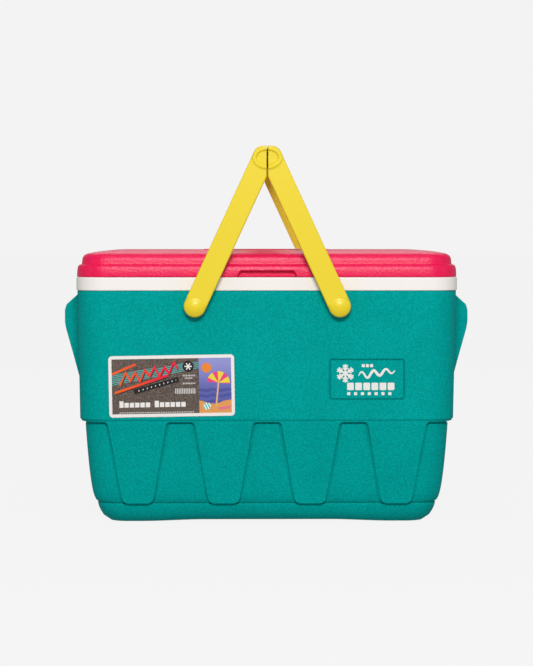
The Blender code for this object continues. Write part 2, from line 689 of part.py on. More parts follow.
def make_hanger(name, place):
    """Returns a function that parents a piece to an empty on a joint's axis, where it stays."""
    empty = bpy.data.objects.new(name, None)
    empty.location = place
    bpy.context.scene.collection.objects.link(empty)

    def hang(thing):
        thing.parent = empty
        thing.matrix_parent_inverse = Matrix.Translation(place).inverted()

    return hang


def main():
    clear_scene()
    teal = make_finish("teal_plastic", (0.0, 0.30, 0.25), 0.50)
    white = make_finish("white_plastic", (0.88, 0.85, 0.82), 0.45)
    pink = make_finish("pink_plastic", (0.90, 0.015, 0.10), 0.45)
    yellow = make_finish("yellow_plastic", (0.90, 0.72, 0.02), 0.35)
    foam = make_finish("insulating_foam", (0.86, 0.78, 0.55), 0.95)
    finishes = {
        "bush": make_finish("grey_plastic", (0.22, 0.23, 0.24), 0.40),
        "steel": make_finish("plated_steel", (0.62, 0.62, 0.60), 0.30, 1.0),
    }
    make_body_shell(teal)
    make_body_foam(foam)
    make_inner_liner(white)
    solid("base_fill_plug", [(plug_rings(FLOOR[0], 1, 0.0045), False)], teal)
    make_front_label(make_finish("printed_label", (0.30, 0.28, 0.27), 0.35))

    hang = make_hanger("lid_lift_point", (0, 0, LID_FOOT))
    hang(make_lid_shell(pink))
    hang(make_lid_liner(white))
    hang(make_lid_foam(foam))
    hang(solid("lid_fill_plug", [(plug_rings(LID_PLUG_FOOT, 1, 0.0035), False)], white))

    for side_x in (LEFT, RIGHT):
        name = "left_handle_axis" if side_x == LEFT else "right_handle_axis"
        hang = make_hanger(name, (side_x * PIVOT[0], 0, PIVOT[1]))
        make_handle(side_x, yellow, hang)
        for side_y in (FRONT, REAR):
            make_pivot_set(side_x, side_y, finishes, hang)


main()
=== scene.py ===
# %% [markdown]
# # A picnic cooler with basket handles
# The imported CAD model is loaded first. It is the frame of this scene: it says where each
# piece is and how big it is, and the fine pieces made below are built around it. Lengths
# are in metres, +Z is up and the front of the cooler faces -Y.

import math

import bmesh
import bpy
import numpy as np
from mathutils import Matrix, Vector


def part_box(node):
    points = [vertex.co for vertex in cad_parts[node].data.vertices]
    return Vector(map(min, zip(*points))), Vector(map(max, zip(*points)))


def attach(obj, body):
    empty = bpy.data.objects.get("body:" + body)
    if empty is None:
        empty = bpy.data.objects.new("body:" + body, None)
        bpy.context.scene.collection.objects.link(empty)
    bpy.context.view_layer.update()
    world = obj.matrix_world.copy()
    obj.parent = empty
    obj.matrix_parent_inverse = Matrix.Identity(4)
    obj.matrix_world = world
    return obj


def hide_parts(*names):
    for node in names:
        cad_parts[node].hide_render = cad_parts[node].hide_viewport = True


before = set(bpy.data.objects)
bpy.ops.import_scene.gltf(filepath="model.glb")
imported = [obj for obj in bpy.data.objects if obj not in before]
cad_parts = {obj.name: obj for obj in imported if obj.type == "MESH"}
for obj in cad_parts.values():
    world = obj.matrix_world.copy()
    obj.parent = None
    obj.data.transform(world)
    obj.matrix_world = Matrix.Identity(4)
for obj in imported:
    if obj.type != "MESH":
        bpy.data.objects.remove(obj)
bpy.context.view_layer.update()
mm = 0.001
FRONT, REAR = -1, 1
LEFT, RIGHT = -1, 1

# %% [markdown]
# ## Camera, light and floor
# A product stands on a pale sweep in soft light. A long lens, almost level with the lid, keeps
# the front face square. A broad softbox in front and above gives the plastics a soft sheen
# and leaves soft shadows under whatever stands proud. The camera sees a brighter sky and floor
# than the ones that light the cooler. So the background is one pale tone, and the lower part of
# the cooler still falls into a little shade.

# %% Camera
CAMERA_PLACE = Vector((-0.037, -2.84, 0.341))
CAMERA_AIM = Vector((0.001, 0.0, 0.2214))
SENSOR_MM, LENS_MM = 36.0, 123.8
lens_data = bpy.data.cameras.new("long_lens")
lens_data.sensor_fit = "VERTICAL"
lens_data.sensor_height = SENSOR_MM
lens_data.lens = LENS_MM
lens_data.clip_start = 0.01
camera = bpy.data.objects.new("camera", lens_data)
camera.location = CAMERA_PLACE
camera.rotation_euler = (CAMERA_AIM - CAMERA_PLACE).to_track_quat("-Z", "Y").to_euler()
bpy.context.scene.collection.objects.link(camera)
bpy.context.scene.camera = camera
bpy.context.scene.view_settings.view_transform = "Standard"
print("camera is", round((CAMERA_AIM - CAMERA_PLACE).length, 3), "m from the cooler")


# %% Lights
def add_softbox(name, place, aim, size, power):
    """An area light at place, turned towards aim. Size is its width and height."""
    lamp = bpy.data.lights.new(name, "AREA")
    lamp.shape = "RECTANGLE"
    lamp.size, lamp.size_y = size
    lamp.energy = power
    box = bpy.data.objects.new(name, lamp)
    box.location = place
    box.rotation_euler = (Vector(aim) - Vector(place)).to_track_quat("-Z", "Y").to_euler()
    bpy.context.scene.collection.objects.link(box)


SOFTBOXES = {
    "key_softbox": ((0.0, -2.6, 1.45), (0.9, 0.4), 55),
    "top_softbox": ((0.0, -0.5, 2.0), (1.2, 0.6), 4),
    "left_softbox": ((-2.4, -1.1, 0.9), (0.8, 1.2), 3),
    "right_softbox": ((2.4, -1.1, 0.9), (0.8, 1.2), 3),
    "rear_softbox": ((0.0, 2.4, 1.8), (1.7, 0.9), 9),
}
LIGHT_AIM = (0, 0, 0.2)
for name, (place, size, power) in SOFTBOXES.items():
    add_softbox(name, place, LIGHT_AIM, size, power)
print(len(SOFTBOXES), "softboxes:", sum(power for _, _, power in SOFTBOXES.values()), "W")

# %% Sky
SKY_SEEN, SKY_LIGHT = 0.896, 0.36


def seen_and_light(tree, socket, seen, light):
    """Gives a strength one value for the camera and another for the light it sends out."""
    rays = tree.nodes.new("ShaderNodeLightPath")
    level = tree.nodes.new("ShaderNodeMapRange")
    level.inputs["To Min"].default_value = light
    level.inputs["To Max"].default_value = seen
    tree.links.new(rays.outputs["Is Camera Ray"], level.inputs["Value"])
    tree.links.new(level.outputs["Result"], socket)


sky = bpy.data.worlds.new("pale_sky")
sky.use_nodes = True
glow = sky.node_tree.nodes["Background"]
glow.inputs["Color"].default_value = (1.0, 1.0, 1.0, 1.0)
seen_and_light(sky.node_tree, glow.inputs["Strength"], SKY_SEEN, SKY_LIGHT)
bpy.context.scene.world = sky

# %% Floor
FLOOR_SEEN, FLOOR_LIGHT = 0.878, 0.42
FLOOR_REACH = 40.0
floor_corners = [(x * FLOOR_REACH, y * FLOOR_REACH, 0) for x, y in ((-1, -1), (1, -1), (1, 1), (-1, 1))]
floor_mesh = bpy.data.meshes.new("floor")
floor_mesh.from_pydata(floor_corners, [], [(0, 1, 2, 3)])
floor = bpy.data.objects.new("floor", floor_mesh)
bpy.context.scene.collection.objects.link(floor)
floor_paint = bpy.data.materials.new("pale_floor")
floor_paint.use_nodes = True
floor_shader = floor_paint.node_tree.nodes["Principled BSDF"]
floor_shader.inputs["Base Color"].default_value = (0.03, 0.03, 0.03, 1.0)
floor_shader.inputs["Roughness"].default_value = 0.9
floor_shader.inputs["Specular IOR Level"].default_value = 0.0
floor_shader.inputs["Emission Color"].default_value = (1.0, 1.0, 1.0, 1.0)
floor_glow = floor_shader.inputs["Emission Strength"]
seen_and_light(floor_paint.node_tree, floor_glow, FLOOR_SEEN, FLOOR_LIGHT)
floor_mesh.materials.append(floor_paint)
print("floor lights at", FLOOR_LIGHT, "and shows at", FLOOR_SEEN)

# %% [markdown]
# ## Shader arithmetic
# A finish is easier to read as a formula than as boxes and wires. `Signal` wraps a socket of
# a material's tree: adding, subtracting or multiplying signals adds Math nodes, and `node`
# adds any other node.


# %% Signal
class Signal:
    """A socket in a material's tree."""

    def __init__(self, tree, socket=None):
        self.tree = tree
        self.socket = socket

    def node(self, kind, settings, sockets, out=0):
        """Adds a node. Settings come first, then values or signals for its sockets."""
        made = self.tree.nodes.new(kind)
        for key, value in settings.items():
            setattr(made, key, value)
        for key, value in sockets.items():
            if isinstance(value, Signal):
                self.tree.links.new(value.socket, made.inputs[key])
            else:
                made.inputs[key].default_value = value
        return Signal(self.tree, made.outputs[out])

    def maths(self, operation, *others):
        """A Math node of this operation, with this signal first."""
        return self.node("ShaderNodeMath", {"operation": operation}, dict(enumerate((self, *others))))

    def __add__(self, other):
        return self.maths("ADD", other)

    def __sub__(self, other):
        return self.maths("SUBTRACT", other)

    def __rsub__(self, other):
        return (self * -1) + other

    def __mul__(self, other):
        return self.maths("MULTIPLY", other)

    def __truediv__(self, other):
        return self.maths("DIVIDE", other)

    def __abs__(self):
        return self.maths("ABSOLUTE")

    def rise(self, low, high):
        """0 below low and 1 above high, eased between."""
        ends = {"From Min": low, "From Max": high, "Value": self}
        return self.node("ShaderNodeMapRange", {"interpolation_type": "SMOOTHSTEP"}, ends)

    def below(self, limit, soft):
        """1 where this is under limit, 0 where it is over limit + soft."""
        return 1 - self.rise(limit, limit + soft)

    def higher(self, other):
        return self.maths("MAXIMUM", other)

    def colour_mix(self, below, above):
        """One colour where this is 0, the other where it is 1."""
        sockets = {0: self}
        for place, colour in ((6, below), (7, above)):
            sockets[place] = colour if isinstance(colour, Signal) else (*colour, 1.0)
        return self.node("ShaderNodeMix", {"data_type": "RGBA"}, sockets, 2)


# %% [markdown]
# ## Moulded plastics
# The mould of a cooler is etched with a fine pebble grain, which hides scratches and breaks up
# reflections. Rounded cells about 2 mm across make the pebbles, finer noise the matte skin
# between them. The pebbles also move colour and gloss a little, as they do when light
# catches their tops.


# %% Grained and smooth plastic
SKIN_SCALE, CLOUD_SCALE = 1.9, 21.0
GLOSS_SPREAD = 0.16


def new_finish(name):
    material = bpy.data.materials.new(name)
    material.use_nodes = True
    shader = material.node_tree.nodes["Principled BSDF"]
    return material, shader, Signal(material.node_tree)


def wire(signal, shader, socket):
    signal.tree.links.new(signal.socket, shader.inputs[socket])


def noise(start, where, scale, detail):
    return start.node("ShaderNodeTexNoise", {}, {"Vector": where, "Scale": scale, "Detail": detail})


def plastic(name, colour, painted_hollow_shade, gloss, grain, size, specular):
    """Moulded plastic: its colour, the painted shade of its grain hollows, roughness, grain depth and grain
    size.
    """
    material, shader, start = new_finish(name)
    where = start.node("ShaderNodeTexCoord", {}, {}, 3)
    pattern = {"Vector": where, "Scale": 1 / size, "Smoothness": 0.6}
    cells = start.node("ShaderNodeTexVoronoi", {"feature": "SMOOTH_F1"}, pattern)
    pebbles = 1 - cells.rise(0.0, 0.75)
    skin = noise(start, where, SKIN_SCALE / size, 3.0)
    cloud = noise(start, where, CLOUD_SCALE, 2.0)
    height = pebbles * 0.7 + skin * 0.6
    # Painted light and shade: the pebble tops take the lighter colour and the grain hollows the darker one,
    # while skin and cloud noise add random tone.
    tone_and_painted_shade = (pebbles * 0.45 + skin * 0.4 + cloud * 0.25).rise(0.25, 0.85)
    wire(tone_and_painted_shade.colour_mix(painted_hollow_shade, colour), shader, "Base Color")
    wire(skin * GLOSS_SPREAD + (gloss - GLOSS_SPREAD / 2), shader, "Roughness")
    bump = start.node("ShaderNodeBump", {}, {"Height": height, "Distance": grain, "Strength": 1.0})
    wire(bump, shader, "Normal")
    shader.inputs["Specular IOR Level"].default_value = specular
    return material


PLASTICS = {
    # colour, painted shade in the grain hollows, roughness, grain depth and size in mm, specular
    "teal_grained_plastic": ((0.0, 0.37, 0.34), (0.0, 0.27, 0.252), 0.62, 0.17, 2.1, 0.02),
    "pink_grained_plastic": ((0.8, 0.002, 0.082), (0.74, 0.0, 0.07), 0.36, 0.22, 2.0, 0.32),
    "white_satin_plastic": ((0.84, 0.8, 0.765), (0.81, 0.77, 0.735), 0.42, 0.015, 1.4, 0.3),
    "yellow_satin_plastic": ((0.78, 0.61, 0.022), (0.76, 0.585, 0.016), 0.36, 0.01, 1.6, 0.36),
    "grey_bush_plastic": ((0.24, 0.25, 0.26), (0.2, 0.21, 0.22), 0.4, 0.01, 1.0, 0.35),
    "pale_foam": ((0.8, 0.7, 0.44), (0.66, 0.56, 0.32), 0.92, 0.5, 1.8, 0.1),
    "white_pad_print": ((0.8, 0.77, 0.74), (0.75, 0.72, 0.69), 0.5, 0.01, 1.0, 0.2),
}
teal, pink, white, yellow, grey, foam, ink = (
    plastic(name, colour, painted_hollow_shade, gloss, depth * mm, size * mm, specular)
    for name, (colour, painted_hollow_shade, gloss, depth, size, specular) in PLASTICS.items()
)
print("plastics:", ", ".join(PLASTICS))


# %% Plated steel
def plated_steel():
    """Bright zinc plate over turned steel, with fine rings round the pin."""
    material, shader, start = new_finish("zinc_plated_steel")
    where = start.node("ShaderNodeTexCoord", {}, {}, 3)
    haze = noise(start, where, 900.0, 4.0)
    pattern = {"Vector": where, "Scale": 1600.0, "Distortion": 1.5}
    rings = start.node("ShaderNodeTexWave", {"bands_direction": "Y"}, pattern, 1)
    wire(haze.colour_mix((0.58, 0.57, 0.55), (0.72, 0.72, 0.7)), shader, "Base Color")
    wire(haze * 0.25 + 0.18, shader, "Roughness")
    bump = start.node("ShaderNodeBump", {}, {"Height": rings, "Distance": 0.02 * mm})
    wire(bump, shader, "Normal")
    shader.inputs["Metallic"].default_value = 1.0
    return material


steel = plated_steel()
print("metal:", steel.name)

# %% [markdown]
# ## Helpers for shapes
# Nearly every piece is a stack of closed rings: a wall, a flange, a tub, a lid. `closed_form`
# joins ring to ring with four-sided faces and fills both ends, which always gives a closed
# solid. Wall relief, such as the panels, is a field: how far each point of a ring stands out.


# %% Mesh helpers
def rise(value, low, high):
    """0 below low and 1 above high, eased between."""
    share = np.clip((value - low) / (high - low), 0, 1)
    return share * share * (3 - 2 * share)


def eased(profile):
    """A list of points with its corners cut, so that straight runs meet in soft bends."""
    points = np.array(profile, float)
    for _ in range(2):
        eased_points = [points[0]]
        for low, high in zip(points, points[1:]):
            eased_points += [low * 0.75 + high * 0.25, low * 0.25 + high * 0.75]
        points = np.array([*eased_points, points[-1]])
    return points


def pocket_depth(across, along, corner):
    """Signed distance from two edges whose corner is rounded. It is under 0 inside both edges."""
    x, y = across + corner, along + corner
    return np.minimum(np.maximum(x, y), 0) + np.hypot(np.maximum(x, 0), np.maximum(y, 0)) - corner


def graded(start, stop, edges, fine, near, coarse):
    """Places from start to stop: fine steps within near of an edge, wider ones away from all edges."""
    places = [start]
    while places[-1] < stop:
        gap = min(abs(places[-1] - edge) for edge in edges) - near
        places.append(places[-1] + min(max(fine, gap * 0.45), coarse))
    return np.interp(places, [places[0], places[-1]], [start, stop])


def make_piece(name, points, faces, crease=35):
    mesh = bpy.data.meshes.new(name)
    mesh.from_pydata(points, [], faces)
    form = bmesh.new()
    form.from_mesh(mesh)
    bmesh.ops.recalc_face_normals(form, faces=form.faces)
    form.to_mesh(mesh)
    form.free()
    mesh.shade_smooth()
    mesh.set_sharp_from_angle(angle=math.radians(crease))
    piece = bpy.data.objects.new(name, mesh)
    bpy.context.scene.collection.objects.link(piece)
    return piece


def ring_faces(rings, columns, first=0):
    """Faces of a stack of closed rings, with both ends filled."""
    index = np.arange(rings * columns).reshape(rings, columns) + first
    beside = np.roll(index, -1, axis=1)
    sides = np.stack([index[:-1], beside[:-1], beside[1:], index[1:]], axis=-1)
    return sides.reshape(-1, 4).tolist() + [index[0, ::-1].tolist(), index[-1].tolist()]


def closed_form(name, stacks, crease=35):
    """One piece from stacks of rings, each an array of (ring, point, xyz)."""
    points, faces = [], []
    for stack in stacks:
        stack = np.asarray(stack)
        faces += ring_faces(stack.shape[0], stack.shape[1], len(points))
        points += stack.reshape(-1, 3).tolist()
    return make_piece(name, points, faces, crease)


def settle(piece, body, slot_name, finish, *stands_for):
    """Gives a piece its finish, its body and the CAD nodes it stands for. Slot_name is not used."""
    piece.data.materials.clear()
    piece.data.materials.append(finish)
    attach(piece, body)
    if stands_for:
        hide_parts(*stands_for)
    print(f"{piece.name}: {len(piece.data.polygons)} faces")


def bake_modifiers(piece):
    """Replaces a piece's mesh by the one that its modifiers make."""
    graph = bpy.context.evaluated_depsgraph_get()
    made = bpy.data.meshes.new_from_object(piece.evaluated_get(graph))
    piece.modifiers.clear()
    piece.data = made


def cut(piece, tool, operation="DIFFERENCE"):
    """Cuts or joins piece with tool, and removes the tool."""
    change = piece.modifiers.new(tool.name, "BOOLEAN")
    change.object = tool
    change.operation = operation
    change.solver = "EXACT"
    bake_modifiers(piece)
    bpy.data.objects.remove(tool, do_unlink=True)


# %% [markdown]
# ## Body shell
# The teal shell is one moulding: a plain upper skirt, a step, and a lower wall that narrows
# towards the floor, with raised trapezoid panels: four on each long wall and one on each end.
# A thin seam line runs round each panel. A ring of points goes round the body at each
# height. Its points follow the slanted panel edges, so an edge stays crisp without a dense
# mesh, and the relief field says how far each point stands out from the pockets between
# the panels.

# %% Sizes of the body shell
shell_low, shell_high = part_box("body_shell")
SHELL_TOP = shell_high.z
SKIRT_HALF = (0.2233, 0.137)
SKIRT_GROWTH = (0.0027, 0.002)
SKIRT_FOOT = 0.1255
BODY_CORNER = 0.034
CORNER_SHRINK = 0.35
FLOOR_LEVEL = 0.002
POCKET = [(FLOOR_LEVEL, 0.035), (0.0042, 0.03), (0.0082, 0.0263), (0.0154, 0.0219), (0.0224, 0.0197)]
POCKET += [(0.0233, 0.0217), (0.0242, 0.0189), (0.029, 0.0162), (0.037, 0.014), (0.0515, 0.0118)]
POCKET += [(0.075, 0.0093), (0.1195, 0.0059), (0.1345, 0.0059)]
PANEL_PITCH = 0.1027
PANEL_HALF_TOP, PANEL_HALF_FOOT = 0.035, 0.0178
PANEL_TOP, PANEL_FOOT = 0.1195, 0.0227
PANEL_FACE = (0.0146, 0.0016)
PANEL_CORNER, POCKET_CORNER = 0.0065, 0.0042
STEP_HEIGHT = 0.1211
SEAM = (0.0016, 0.0013)
WALL = 0.003
PAD_CENTRE = (0.118, 0.1719)
PAD_HALF = (0.0453, 0.0249)
PAD_CORNER = 0.0045
GROOVE = (0.0013, 0.0022)
pocket_inset = eased(POCKET)


def panel_half(height):
    share = (np.minimum(height, PANEL_TOP) - PANEL_FOOT) / (PANEL_TOP - PANEL_FOOT)
    return PANEL_HALF_FOOT + (PANEL_HALF_TOP - PANEL_HALF_FOOT) * share


print("shell is", round(shell_high.z - shell_low.z, 4), "m high; panels every", PANEL_PITCH, "m")


# %% Relief of a wall
def wall_relief(along, height, places):
    """Inset of the wall's surface from the skirt, given points along a wall and their heights."""
    panel = np.full(along.shape, -1.0)
    for place in places:
        side = panel_half(height) - np.abs(along - place * PANEL_PITCH)
        panel = np.maximum(panel, -pocket_depth(-side, PANEL_FOOT - height, PANEL_CORNER))
    pocket = pocket_depth(panel, height - STEP_HEIGHT, POCKET_CORNER)
    proud = rise(pocket, -0.0008, 0.0006)
    floor_of_pocket = np.interp(height, pocket_inset[:, 0], pocket_inset[:, 1])
    seam = 1 - rise(np.abs(pocket + SEAM[0]), 0.0003, SEAM[0])
    floor_of_pocket = floor_of_pocket + SEAM[1] * seam * (height > PANEL_FOOT)
    face = np.interp(height, [PANEL_FOOT, PANEL_TOP], PANEL_FACE) * (1 - rise(height, 0.1226, 0.1248))
    return floor_of_pocket + (face - floor_of_pocket) * proud


def pad_groove(along, height):
    """Depth of the groove round the emblem pad."""
    x = np.abs(along - PAD_CENTRE[0]) - PAD_HALF[0] + GROOVE[0]
    z = np.abs(height - PAD_CENTRE[1]) - PAD_HALF[1] + GROOVE[0]
    edge = pocket_depth(x, z, PAD_CORNER - GROOVE[0])
    return GROOVE[1] * (1 - rise(np.abs(edge), 0.0003, GROOVE[0]))


def wall_points(distance, half_length, corner, along, proud, turn):
    """One wall and half of the corner at each of its ends, turned about Z."""
    straight = half_length - corner
    past = np.maximum(np.abs(along) - straight, 0) / corner
    reach = corner + proud
    x = np.sign(along) * (np.minimum(np.abs(along), straight) + reach * np.sin(past))
    out = distance - corner + reach * np.cos(past)
    return x * math.cos(turn) + out * math.sin(turn), x * math.sin(turn) - out * math.cos(turn)


def foot_weight(x, y):
    """1 over the four corner feet, 0 over the arch between them."""
    return rise(np.abs(x), 0.075, 0.15) * rise(np.abs(y), 0.035, 0.075)


# %% Rows and columns of the body shell
# Insets of the rings under the floor, and heights of the rings inside
UNDER_INSETS = [0.104, 0.094, 0.084, 0.075, 0.066, 0.057, 0.049, 0.043]
INNER_HEIGHTS = [SHELL_TOP, 0.204, 0.1275, 0.1175, 0.075, 0.037, 0.03, 0.0115, 0.0055]
FINE_STEP = 0.0006


def shell_rows():
    """Height, inset and set-back of each ring: under the floor, up the outside, down the inside."""
    pad_edges = (PAD_CENTRE[1] - PAD_HALF[1], PAD_CENTRE[1] + PAD_HALF[1])
    bends = (0.0233, PANEL_FOOT, PANEL_TOP, SKIRT_FOOT - 0.003, *pad_edges)
    heights = graded(FLOOR_LEVEL, SHELL_TOP - 0.0007, bends, FINE_STEP, 0.0035, 0.006)
    under = np.full(len(UNDER_INSETS), FLOOR_LEVEL)
    height = np.concatenate([under, heights, [SHELL_TOP - 0.0002, SHELL_TOP], INNER_HEIGHTS])
    outer = slice(len(under), len(under) + len(heights))
    depth = np.interp(height, pocket_inset[:, 0], pocket_inset[:, 1])
    depth *= 1 - rise(height, PANEL_TOP, SKIRT_FOOT)
    depth[: len(under)] = UNDER_INSETS
    set_back = np.zeros(len(height))
    set_back[-len(INNER_HEIGHTS) - 2 :] = [0.0003, 0.001, *[WALL] * len(INNER_HEIGHTS)]
    return height, depth, set_back, outer


def shell_columns(reach, places, end, height, has_pad):
    """Points along a wall for each ring: close together at panel edges, and following their slant."""
    edges = [place * PANEL_PITCH + side * PANEL_HALF_TOP for place in places for side in (-1, 1)]
    dense = list(edges)
    if has_pad:
        dense += [PAD_CENTRE[0] + side * (PAD_HALF[0] - 0.0025) for side in (-1, 1)]
    columns = graded(-reach, reach, dense, FINE_STEP, 0.003, 0.0055)[:-1]
    along = np.empty((len(height), len(columns)))
    for row, z in enumerate(height):
        half = panel_half(max(z, PANEL_FOOT))
        knots = [place * PANEL_PITCH + side * half for place in places for side in (-1, 1)]
        along[row] = np.interp(columns, [-reach, *edges, reach], [-end[row], *knots, end[row]])
    return along


# %% Build the body shell
# A wall: the axes of its distance and of its length, and the places of its panels, in pitches
LONG_WALL = ((1, 0), (-1.5, -0.5, 0.5, 1.5))
END_WALL = ((0, 1), (0,))


def make_body_shell():
    height, depth, set_back, outer = shell_rows()
    level, depth = height[:, None], depth[:, None]
    growth = np.clip((level - SKIRT_FOOT) / (SHELL_TOP - SKIRT_FOOT), 0, 1)
    corner = np.maximum(BODY_CORNER - CORNER_SHRINK * depth, 0.006)
    walls = []
    for number, ((far, long), places) in enumerate((LONG_WALL, END_WALL) * 2):
        distance = SKIRT_HALF[far] + SKIRT_GROWTH[far] * growth - depth
        half_length = SKIRT_HALF[long] + SKIRT_GROWTH[long] * growth - depth
        end = half_length - corner + corner * math.pi / 4
        reach = SKIRT_HALF[long] - BODY_CORNER + BODY_CORNER * math.pi / 4
        along = shell_columns(reach, places, end[:, 0], height, number == 0)
        proud = np.zeros_like(along)
        proud[outer] = depth[outer] - wall_relief(along[outer], level[outer], places)
        if number == 0:
            proud[outer] -= pad_groove(along[outer], level[outer])
        proud -= set_back[:, None]
        x, y = wall_points(distance, half_length, corner, along, proud, math.radians(90 * number))
        arch = FLOOR_LEVEL * foot_weight(x, y) * np.clip((0.02 - level) / 0.018, 0, 1)
        walls.append(np.stack([x, y, level - arch], axis=-1))
    return closed_form("body_shell_moulding", [np.concatenate(walls, axis=1)], crease=50)


body_shell = make_body_shell()


# %% Pivot holes
def ring_around(centre, radius, y, steps=48):
    """A ring about a line along Y, through centre (X, Z)."""
    angle = np.linspace(0, 2 * math.pi, steps, endpoint=False)
    x = centre[0] + radius * np.cos(angle)
    return np.stack([x, np.full(steps, y), centre[1] + radius * np.sin(angle)], axis=-1)


right_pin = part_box("pivot_pin_right_front")
PIVOT = ((right_pin[0].x + right_pin[1].x) / 2, (right_pin[0].z + right_pin[1].z) / 2)
BUSH_SLEEVE = 0.007
for side in (LEFT, RIGHT):
    axis = (side * PIVOT[0], PIVOT[1])
    drill = closed_form("drill", [[ring_around(axis, BUSH_SLEEVE + 0.3 * mm, y) for y in (-0.16, 0.16)]])
    cut(body_shell, drill)
body_shell.data.set_sharp_from_angle(angle=math.radians(50))
settle(body_shell, "cooler_body", "teal_plastic", teal, "body_shell")
print("pivots at", [round(value, 4) for value in PIVOT])

# %% [markdown]
# ## End grips
# Each end has a moulded ear with a sloped top. It is hollow from below, so that
# fingers can curl behind its lip. A prism with rounded edges is enough, cut by a second prism.


# %% End grips
def upright(outline, depths):
    """Rings of an outline in X and Z, one at each Y."""
    return [[(x, y, z) for x, z in outline] for y in depths]


def prism(name, side, outline, half, width, segments):
    """An outline on one side of the cooler, drawn out along Y to half on either side and rounded."""
    piece = closed_form(name, [upright([(side * x, z) for x, z in outline], (-half, half))])
    rounding = piece.modifiers.new("rounded_edges", "BEVEL")
    rounding.width = width
    rounding.segments = segments
    rounding.limit_method = "ANGLE"
    rounding.angle_limit = math.radians(12)
    bake_modifiers(piece)
    return piece


EAR_HALF, HAND_HALF = 0.07, 0.055
EAR_OUTLINE = [(0.224, 0.2725), (0.227, 0.2725), (0.2418, 0.259), (0.2437, 0.252), (0.2437, 0.238)]
EAR_OUTLINE += [(0.2423, 0.2298), (0.2342, 0.2008), (0.227, 0.174), (0.2245, 0.169), (0.2225, 0.169)]
HAND_OUTLINE = [(0.215, 0.154), (0.27, 0.154), (0.27, 0.232), (0.2388, 0.232), (0.2388, 0.244)]
HAND_OUTLINE += [(0.2355, 0.2525), (0.23, 0.2545), (0.215, 0.2545)]


def make_ear(side, name):
    ear = prism(name, side, EAR_OUTLINE, EAR_HALF, 2.6 * mm, 4)
    cut(ear, prism("hand_room", side, HAND_OUTLINE, HAND_HALF, 1.6 * mm, 3))
    ear.data.shade_smooth()
    ear.data.set_sharp_from_angle(angle=math.radians(35))
    settle(ear, "cooler_body", "teal_plastic", teal, "body_shell")


make_ear(LEFT, "left_end_grip")
make_ear(RIGHT, "right_end_grip")

# %% [markdown]
# ## White liner
# The tub and the white rim are one moulding. Its flange wraps over the top of the shell and
# shows as a band all the way round. Small rounds on the band catch a line of light.


# %% White liner
def level_ring(half, corner, height, steps=14):
    """A rectangle with round corners, at one height."""
    quarter = np.linspace(0, math.pi / 2, steps + 1)
    x, y = half[0] - corner, half[1] - corner
    points = []
    for number, (side_x, side_y) in enumerate(((1, 1), (-1, 1), (-1, -1), (1, -1))):
        angle = quarter + number * math.pi / 2
        points += zip(side_x * x + corner * np.cos(angle), side_y * y + corner * np.sin(angle))
    return [(px, py, height) for px, py in points]


rim_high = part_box("inner_liner")[1]
RIM_HALF = (rim_high.x, rim_high.y)
RIM_FOOT, RIM_TOP = SHELL_TOP + 0.3 * mm, rim_high.z
TUB_TOP, TUB_FOOT = (0.207, 0.12), (0.191, 0.104)
TUB_FLOOR, TUB_ROUND, TUB_CORNER = 0.024, 0.01, 0.022
LINER_WALL = 0.0025


def shrunk(half, by):
    return (half[0] - by, half[1] - by)


def tub_rings(back):
    """The tub from its floor to its top. Back is how far outside the inner surface the rings lie."""
    rings = []
    for share in np.linspace(0, 1, 8):
        turn = share * math.pi / 2
        inset = (TUB_ROUND + back) * (1 - math.sin(turn))
        height = TUB_FLOOR + TUB_ROUND - (TUB_ROUND + back) * math.cos(turn)
        half = (TUB_FOOT[0] + 0.003 + back - inset, TUB_FOOT[1] + 0.003 + back - inset)
        rings.append(level_ring(half, TUB_CORNER + back - inset * 0.5, height))
    return [level_ring(shrunk(TUB_FOOT, 0.03), 0.01, TUB_FLOOR - back), *rings]


def rim_ring(inset, height):
    return level_ring(shrunk(RIM_HALF, inset), BODY_CORNER - inset, height)


def make_liner():
    inside = tub_rings(0.0)
    for half_inset, drop in ((0.0, 0.0022), (-0.0007, 0.0006), (-0.0022, 0.0)):
        inside.append(level_ring(shrunk(TUB_TOP, half_inset), TUB_CORNER - half_inset, RIM_TOP - drop))
    band = [(0.0012, 0.0), (0.0004, 0.0004), (0.0, 0.0012), (0.0, 0.0018)]
    outside = [rim_ring(inset, RIM_TOP - drop) for inset, drop in band]
    foot = [(0.0, 0.0013), (0.0, 0.0007), (0.0002, 0.0002), (0.0007, 0.0), (LINER_WALL, 0.0)]
    outside += [rim_ring(inset, RIM_FOOT + lift) for inset, lift in foot]
    outside.append(rim_ring(LINER_WALL, RIM_TOP - 0.003))
    behind = level_ring(shrunk(TUB_TOP, -LINER_WALL), TUB_CORNER + LINER_WALL, RIM_TOP - 0.003)
    rings = [*inside, *outside, behind, *reversed(tub_rings(LINER_WALL))]
    return closed_form("tub_liner", [rings], crease=40)


settle(make_liner(), "cooler_body", "white_plastic", white, "inner_liner")
print("rim is", round((RIM_TOP - RIM_FOOT) / mm, 1), "mm high")

# %% [markdown]
# ## Lid
# The pink lid has two tiers with soft edges and a slightly crowned top. At the front and at the
# rear a shallow notch gives fingertips a hold. The notch has sloped ends and rounded upper
# corners. It is a field again, pushed into the lower tier.

# %% Sizes of the lid
lid_low, lid_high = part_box("lid_shell")
LID_HALF = (lid_high.x, lid_high.y)
LID_FOOT, LID_CROWN = lid_low.z, lid_high.z
LID_CORNER = 0.034
CROWN_REACH = 0.05
NOTCH_HALF_FOOT, NOTCH_HALF_TOP = 0.0372, 0.0318
NOTCH_HEIGHT, NOTCH_DEPTH, NOTCH_CORNER = 0.008, 0.0088, 0.0022
